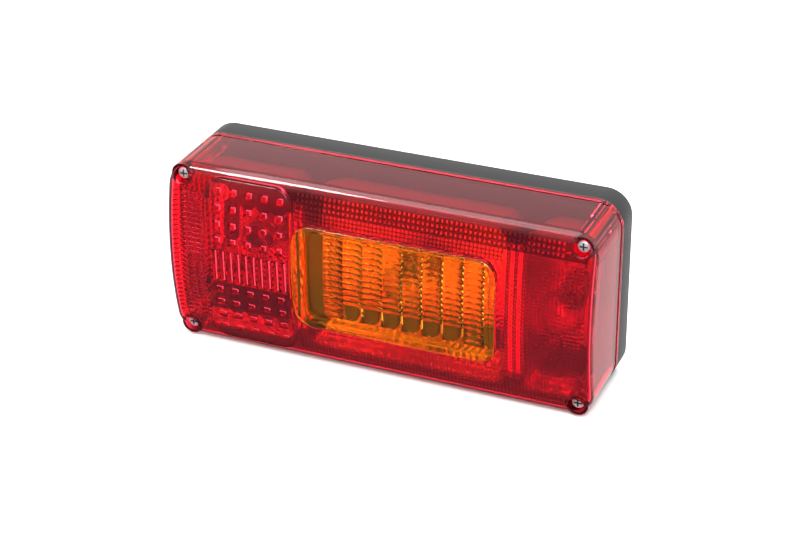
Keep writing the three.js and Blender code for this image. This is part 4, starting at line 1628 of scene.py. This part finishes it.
@dataclass
class Bulbs:
    """The three bayonet bulbs: solder tip, brass cap with pins, blown envelope and filament."""

    cap_wall: float = 0.5
    pin_radius: float = 1.0
    pin_rise: float = 6.6
    pin_reach: float = 8.9
    neck_radius: float = 6.6
    neck_rise: float = 17.2
    glass_wall: float = 0.7
    wire_radius: float = 0.11
    filament_half: float = 3.4
    coil_turns: int = 12
    coil_radius: float = 0.42
    coil_steps: int = 10  # points on each turn

    def cap(self, box: Extent) -> Workpiece:
        """The cap: a thin cup, rolled at its mouth, with two pins.

        Args:
            box: of the cap with its pins.

        Returns:
            The cap, about the lamp's own axis.
        """
        radius = box.height / 2
        inner = radius - self.cap_wall
        back, front = box.back, box.front
        profile = [
            (radius - 0.8, back),
            (radius - 0.2, back + 0.25),
            (radius, back + 0.8),
            (radius, front - 0.2),
            (radius - 0.2, front),
            (inner, front),
            (inner, back + 1),
            (0.05, back + 1),
        ]
        work = Workpiece.turned(profile, sides=64)
        depth = back + self.pin_rise
        for sign in (-1, 1):
            pin = Workpiece.from_primitive(
                bpy.ops.mesh.primitive_cylinder_add,
                vertices=24,
                radius=self.pin_radius,
                depth=self.pin_reach - inner,
                location=(sign * (self.pin_reach + inner) / 2, 0, depth),
                rotation=(0, math.pi / 2, 0),
            )
            outer_end = sign * self.pin_reach
            pin.pick(
                Element.EDGES, lambda edge: all(abs(v.co.x - outer_end) < 0.01 for v in edge.verts)
            )
            pin.bevel(0.2, 2)
            pin.tidy()
            work.join(pin)
        return work

    def glass(self, box: Extent) -> Workpiece:
        """The envelope: a neck that swells to a round bulb, blown to an even wall.

        Args:
            box: of the envelope.

        Returns:
            The envelope, about the lamp's own axis.
        """
        radius = box.width / 2
        middle = box.front - radius
        neck_top = box.back + self.neck_rise / 2

        def skin(wall: float) -> list[tuple[float, float]]:
            """The envelope's profile, moved in by a wall."""
            ball, neck = radius - wall, self.neck_radius - wall
            start = -math.acos(neck / ball) * 0.98
            steps = 16
            angles = [start + (math.pi / 2 - start) * i / steps for i in range(steps + 1)]
            arc = [(ball * math.cos(a), middle + ball * math.sin(a)) for a in angles[:-1]]
            return [(neck, box.back), (neck, neck_top), *arc, (0.05, middle + ball)]

        work = Workpiece.turned(skin(0), sides=48)
        inside = [(r, z if i else z - 1) for i, (r, z) in enumerate(skin(self.glass_wall))]
        return work.cut(Workpiece.turned(inside, sides=48))

    def filament(self, box: Extent) -> Workpiece:
        """Two support wires and the coil between them.

        Args:
            box: of the filament.

        Returns:
            The wires, about the lamp's own axis.
        """
        half = self.filament_half
        foot, top = box.back + 0.3, box.front - 0.8
        rise = [(half * 0.6, foot), (half * 0.6, (foot + top) / 2), (half, top - 1), (half, top)]
        coil, points = self.coil_radius, self.coil_turns * self.coil_steps
        places = [Vector((-x, 0, z)) for x, z in rise]
        for i in range(points + 1):
            share = i / points
            angle = FULL_TURN * self.coil_turns * share
            x = half * (2 * share - 1)
            places.append(Vector((x, coil * math.sin(angle), top + coil * (1 - math.cos(angle)) / 2)))
        places += [Vector((x, 0, z)) for x, z in reversed(rise)]
        return Workpiece.wire(places, self.wire_radius, 6)

    def build(self) -> None:
        """Models one bulb and copies it to each socket."""
        cap_box = Extent.of("bulb_cap_left")
        tip_box = Extent.of("bulb_tip_left")
        cap = self.cap(cap_box)
        glass = self.glass(Extent.of("bulb_glass_left"))
        filament = self.filament(Extent.of("bulb_filament_left"))
        radius = tip_box.width / 2
        tip = Workpiece.turned(
            [
                (radius * 0.45, tip_box.back),
                (radius * 0.7, tip_box.back + 0.15),
                (radius * 0.9, tip_box.back + 0.5),
                (radius, tip_box.front - 0.2),
                (radius, tip_box.front),
            ]
        )
        for side in Side:
            x, body = Extent.of(f"bulb_cap_{side.value}").x, f"bulb_{side.value}"
            for pattern, kind, finish, slot in (
                (cap, "cap", STAMPED_BRASS, "brass"),
                (tip, "tip", DULL_SOLDER, "solder"),
                (glass, "glass", BLOWN_GLASS, "bulb_glass"),
                (filament, "filament", DRAWN_TUNGSTEN, "tungsten"),
            ):
                pattern.copy(x).set_down(f"bulb_{kind}_{side.value}", finish, body, slot)
        scrap(cap, tip, glass, filament)


# ---------------------------------------------------------------- back of the lamp


@dataclass
class Mountings:
    """The two bolts with their nuts and washers, and the cable grommet."""

    bolt_radius: float = 3.0
    thread_pitch: float = 1.0
    thread_depth: float = 0.35
    head_height: float = 4.0
    bore: float = 3.4
    neck: float = 6.7
    nose: float = 5.0
    flange: float = 1.5  # thickness of both flanges
    nose_ribs: int = 5
    corner_turned_off: float = 0.55

    def hexagon(self, box: Extent, back: float, front: float) -> Workpiece:
        """A hexagon bar whose corners are turned off at both ends.

        Args:
            box: whose width or height is across the corners.
            back: depth of one end.
            front: depth of the other.

        Returns:
            The bar.
        """
        across = max(box.width, box.height) / 2
        bar = Workpiece.rod(across, back, front, box.x, box.y, 6)
        ease = self.corner_turned_off
        cone = [
            (across - ease * 1.7, back),
            (across, back + ease),
            (across, front - ease),
            (across - ease * 1.7, front),
        ]
        return bar.meet(Workpiece.turned(cone, box.x, box.y, 48))

    def bolt(self, box: Extent, nut: Extent) -> Workpiece:
        """A bolt: hexagon head inside the housing and a threaded shank behind it.

        Args:
            box: of the bolt.
            nut: of its nut, for the hexagon.

        Returns:
            The bolt.
        """
        head_back = box.front - self.head_height
        work = self.hexagon(nut.between(0, 1), head_back, box.front)
        depth = box.back
        radius = self.bolt_radius
        profile = [(radius - 0.7, depth), (radius - self.thread_depth, depth + 0.5)]
        depth += 0.5
        while depth + self.thread_pitch < head_back - 1:
            profile.append((radius, depth + self.thread_pitch / 2))
            depth += self.thread_pitch
            profile.append((radius - self.thread_depth, depth))
        profile += [(radius - 0.05, depth + 0.3), (radius - 0.05, head_back + 1)]
        return work.join(Workpiece.turned(profile, box.x, box.y, 40))

    def grommet(self) -> None:
        """Models the rubber grommet: two flanges, a neck between them and a ribbed nose."""
        box = Extent.of("cable_grommet")
        flange = box.width / 2
        back = -FIT - self.flange
        floor = box.front - self.flange
        ribs = []
        for i in range(self.nose_ribs):
            share = i / self.nose_ribs
            depth = box.back + (back - box.back) * share
            radius = self.nose + (self.neck - self.nose) * share
            ribs += [(radius - 0.25, depth + 0.05), (radius, depth + 0.5), (radius, depth + 1.0)]
        profile = [
            (self.bore, box.back),
            *ribs,
            (self.neck - 0.2, back),
            (flange - 0.4, back),
            (flange, back + 0.4),
            (flange, -FIT - 0.3),
            (flange - 0.3, -FIT),
            (self.neck, -FIT),
            (self.neck, floor),
            (flange - 0.3, floor),
            (flange, floor + 0.3),
            (flange, box.front - 0.5),
            (flange - 0.5, box.front),
            (self.bore + 0.4, box.front),
            (self.bore, box.front - 0.4),
        ]
        work = Workpiece.turned(profile, box.x, box.y, solid=False)
        work.set_down("cable_grommet", BLACK_EPDM, "housing", "rubber")

    def build(self) -> None:
        """Models one bolt, nut and washer, copies them, and adds the grommet."""
        first = Extent.of("mounting_bolt_left")
        nut_box = Extent.of("mounting_nut_left")
        washer_box = Extent.of("mounting_washer_left")
        bolt = self.bolt(first, nut_box)
        nut = self.hexagon(nut_box, nut_box.back, nut_box.front)
        bore = self.bolt_radius + FIT
        nut.cut(Workpiece.rod(bore, nut_box.back - 1, nut_box.front + 1, first.x, first.y))
        washer = Workpiece.ring(
            bore, washer_box.width / 2, washer_box.back, washer_box.front, first.x, first.y
        )
        for side in ("left", "right"):
            shift = Extent.of(f"mounting_bolt_{side}").x - first.x
            node = f"mounting_bolt_{side}"
            bolt.copy(shift).set_down(node, BRIGHT_ZINC, "housing", "zinc_steel")
            for pattern, kind in ((nut, "nut"), (washer, "washer")):
                node = f"mounting_{kind}_{side}"
                pattern.copy(shift).set_down(node, BRIGHT_ZINC, node, "zinc_steel")
        scrap(bolt, nut, washer)
        self.grommet()


# ---------------------------------------------------------------- studio


@dataclass
class Studio:
    """Pale floor, soft light from above and behind, and the camera."""

    azimuth: float = math.radians(23.44)
    elevation: float = math.radians(28.72)
    roll: float = math.radians(-0.741)
    distance: float = 1.098
    lens_mm: float = 90.36
    target: tuple[float, float, float] = (-0.01002, 0.0, -0.0173)
    floor_size: float = 6.0

    def camera(self) -> None:
        """Sets up the camera."""
        a, e = self.azimuth, self.elevation
        back = Vector((math.sin(a) * math.cos(e), -math.cos(a) * math.cos(e), math.sin(e)))
        right = Vector((math.cos(a), math.sin(a), 0))
        up = back.cross(right)
        c, s = math.cos(self.roll), math.sin(self.roll)
        right, up = c * right + s * up, c * up - s * right
        data = bpy.data.cameras.new("camera")
        data.lens = self.lens_mm
        data.sensor_width = 36
        data.clip_start = 0.01
        camera = bpy.data.objects.new("camera", data)
        bpy.context.collection.objects.link(camera)
        place = Vector(self.target) + back * self.distance
        matrix = Matrix((right, up, back)).transposed().to_4x4()
        matrix.translation = place
        camera.matrix_world = matrix
        bpy.context.scene.camera = camera

    def softbox(
        self, name: str, place: Vector, aim: Vector, size: tuple[float, float], power: float
    ) -> bpy.types.Object:
        """Adds a rectangular soft light.

        Args:
            name: of the light.
            place: where it hangs.
            aim: the point it faces.
            size: its width and height.
            power: in watts.

        Returns:
            The light.
        """
        data = bpy.data.lights.new(name, "AREA")
        data.shape = "RECTANGLE"
        data.size, data.size_y = size
        data.energy = power
        light = bpy.data.objects.new(name, data)
        bpy.context.collection.objects.link(light)
        light.location = place
        light.rotation_euler = (aim - place).to_track_quat("-Z", "Y").to_euler()
        return light

    def room(self) -> None:
        """Lights the room: white above and behind the lamp, dim below and in front of it."""
        world = bpy.data.worlds.new("room")
        bpy.context.scene.world = world
        world.use_nodes = True
        tree = world.node_tree
        tree.nodes.clear()
        direction = add_node(tree, "ShaderNodeTexCoord").outputs["Generated"]
        parts = add_node(tree, "ShaderNodeSeparateXYZ", {"Vector": direction})
        tilt = {0: parts.outputs["Y"], 1: 0.9, 2: parts.outputs["Z"]}
        height = add_node(tree, "ShaderNodeMath", tilt, operation="MULTIPLY_ADD").outputs["Value"]
        inputs = {"Value": height, "From Min": -0.9, "From Max": 0.1, "To Min": 0.12, "To Max": 1.05}
        level = add_node(tree, "ShaderNodeMapRange", inputs).outputs["Result"]
        light = add_node(tree, "ShaderNodeBackground", {"Color": (1, 1, 1, 1), "Strength": level})
        add_node(tree, "ShaderNodeOutputWorld", {"Surface": light.outputs["Background"]})

    def floor(self) -> None:
        """Lays the pale floor just under the lamp."""
        low = CAD_BOX[0][2]
        work = Workpiece.from_primitive(
            bpy.ops.mesh.primitive_plane_add, size=self.floor_size, location=(0, 0, low - 0.0004)
        )
        paper = Finish(
            "paper_backdrop", "#fafafa", "#f6f6f6", 0.9, 0.03, patch_mm=400, grain_mm=3,
            grain_depth_mm=0.02,
        )
        work.piece.name = "floor"
        work.piece.data.materials.append(paper.material())
        work.piece.visible_glossy = False

    def build(self) -> None:
        """Sets up the camera, the lights and the floor."""
        self.camera()
        self.room()
        self.floor()
        self.softbox("overhead", Vector((0, -0.1, 1.2)), Vector((0, 0, 0)), (1.4, 1.0), 16)
        self.softbox("key", Vector((0.25, -0.75, 0.75)), Vector((0, 0, 0)), (0.5, 0.5), 12)
        edge = Vector((-0.07, -0.05, 0.05))
        hung = edge + Vector((-0.42, -0.438, 0.795)) * 0.7
        strip = self.softbox("strip", hung, edge, (0.12, 0.26), 3)
        strip.visible_diffuse = False
        strip.visible_transmission = False
        bpy.context.scene.view_settings.view_transform = "Standard"


def main() -> None:
    """Builds every sub-assembly in order and reports each piece."""
    logging.basicConfig(level=logging.INFO, format="%(message)s", force=True)
    Studio().build()
    for assembly in (Housing(), Lens(), LensScrews(), Reflectors(), Sockets(), Bulbs(), Mountings()):
        log.info("== %s", type(assembly).__name__)
        assembly.build()
    deselect_all()


if __name__ == "__main__":
    main()
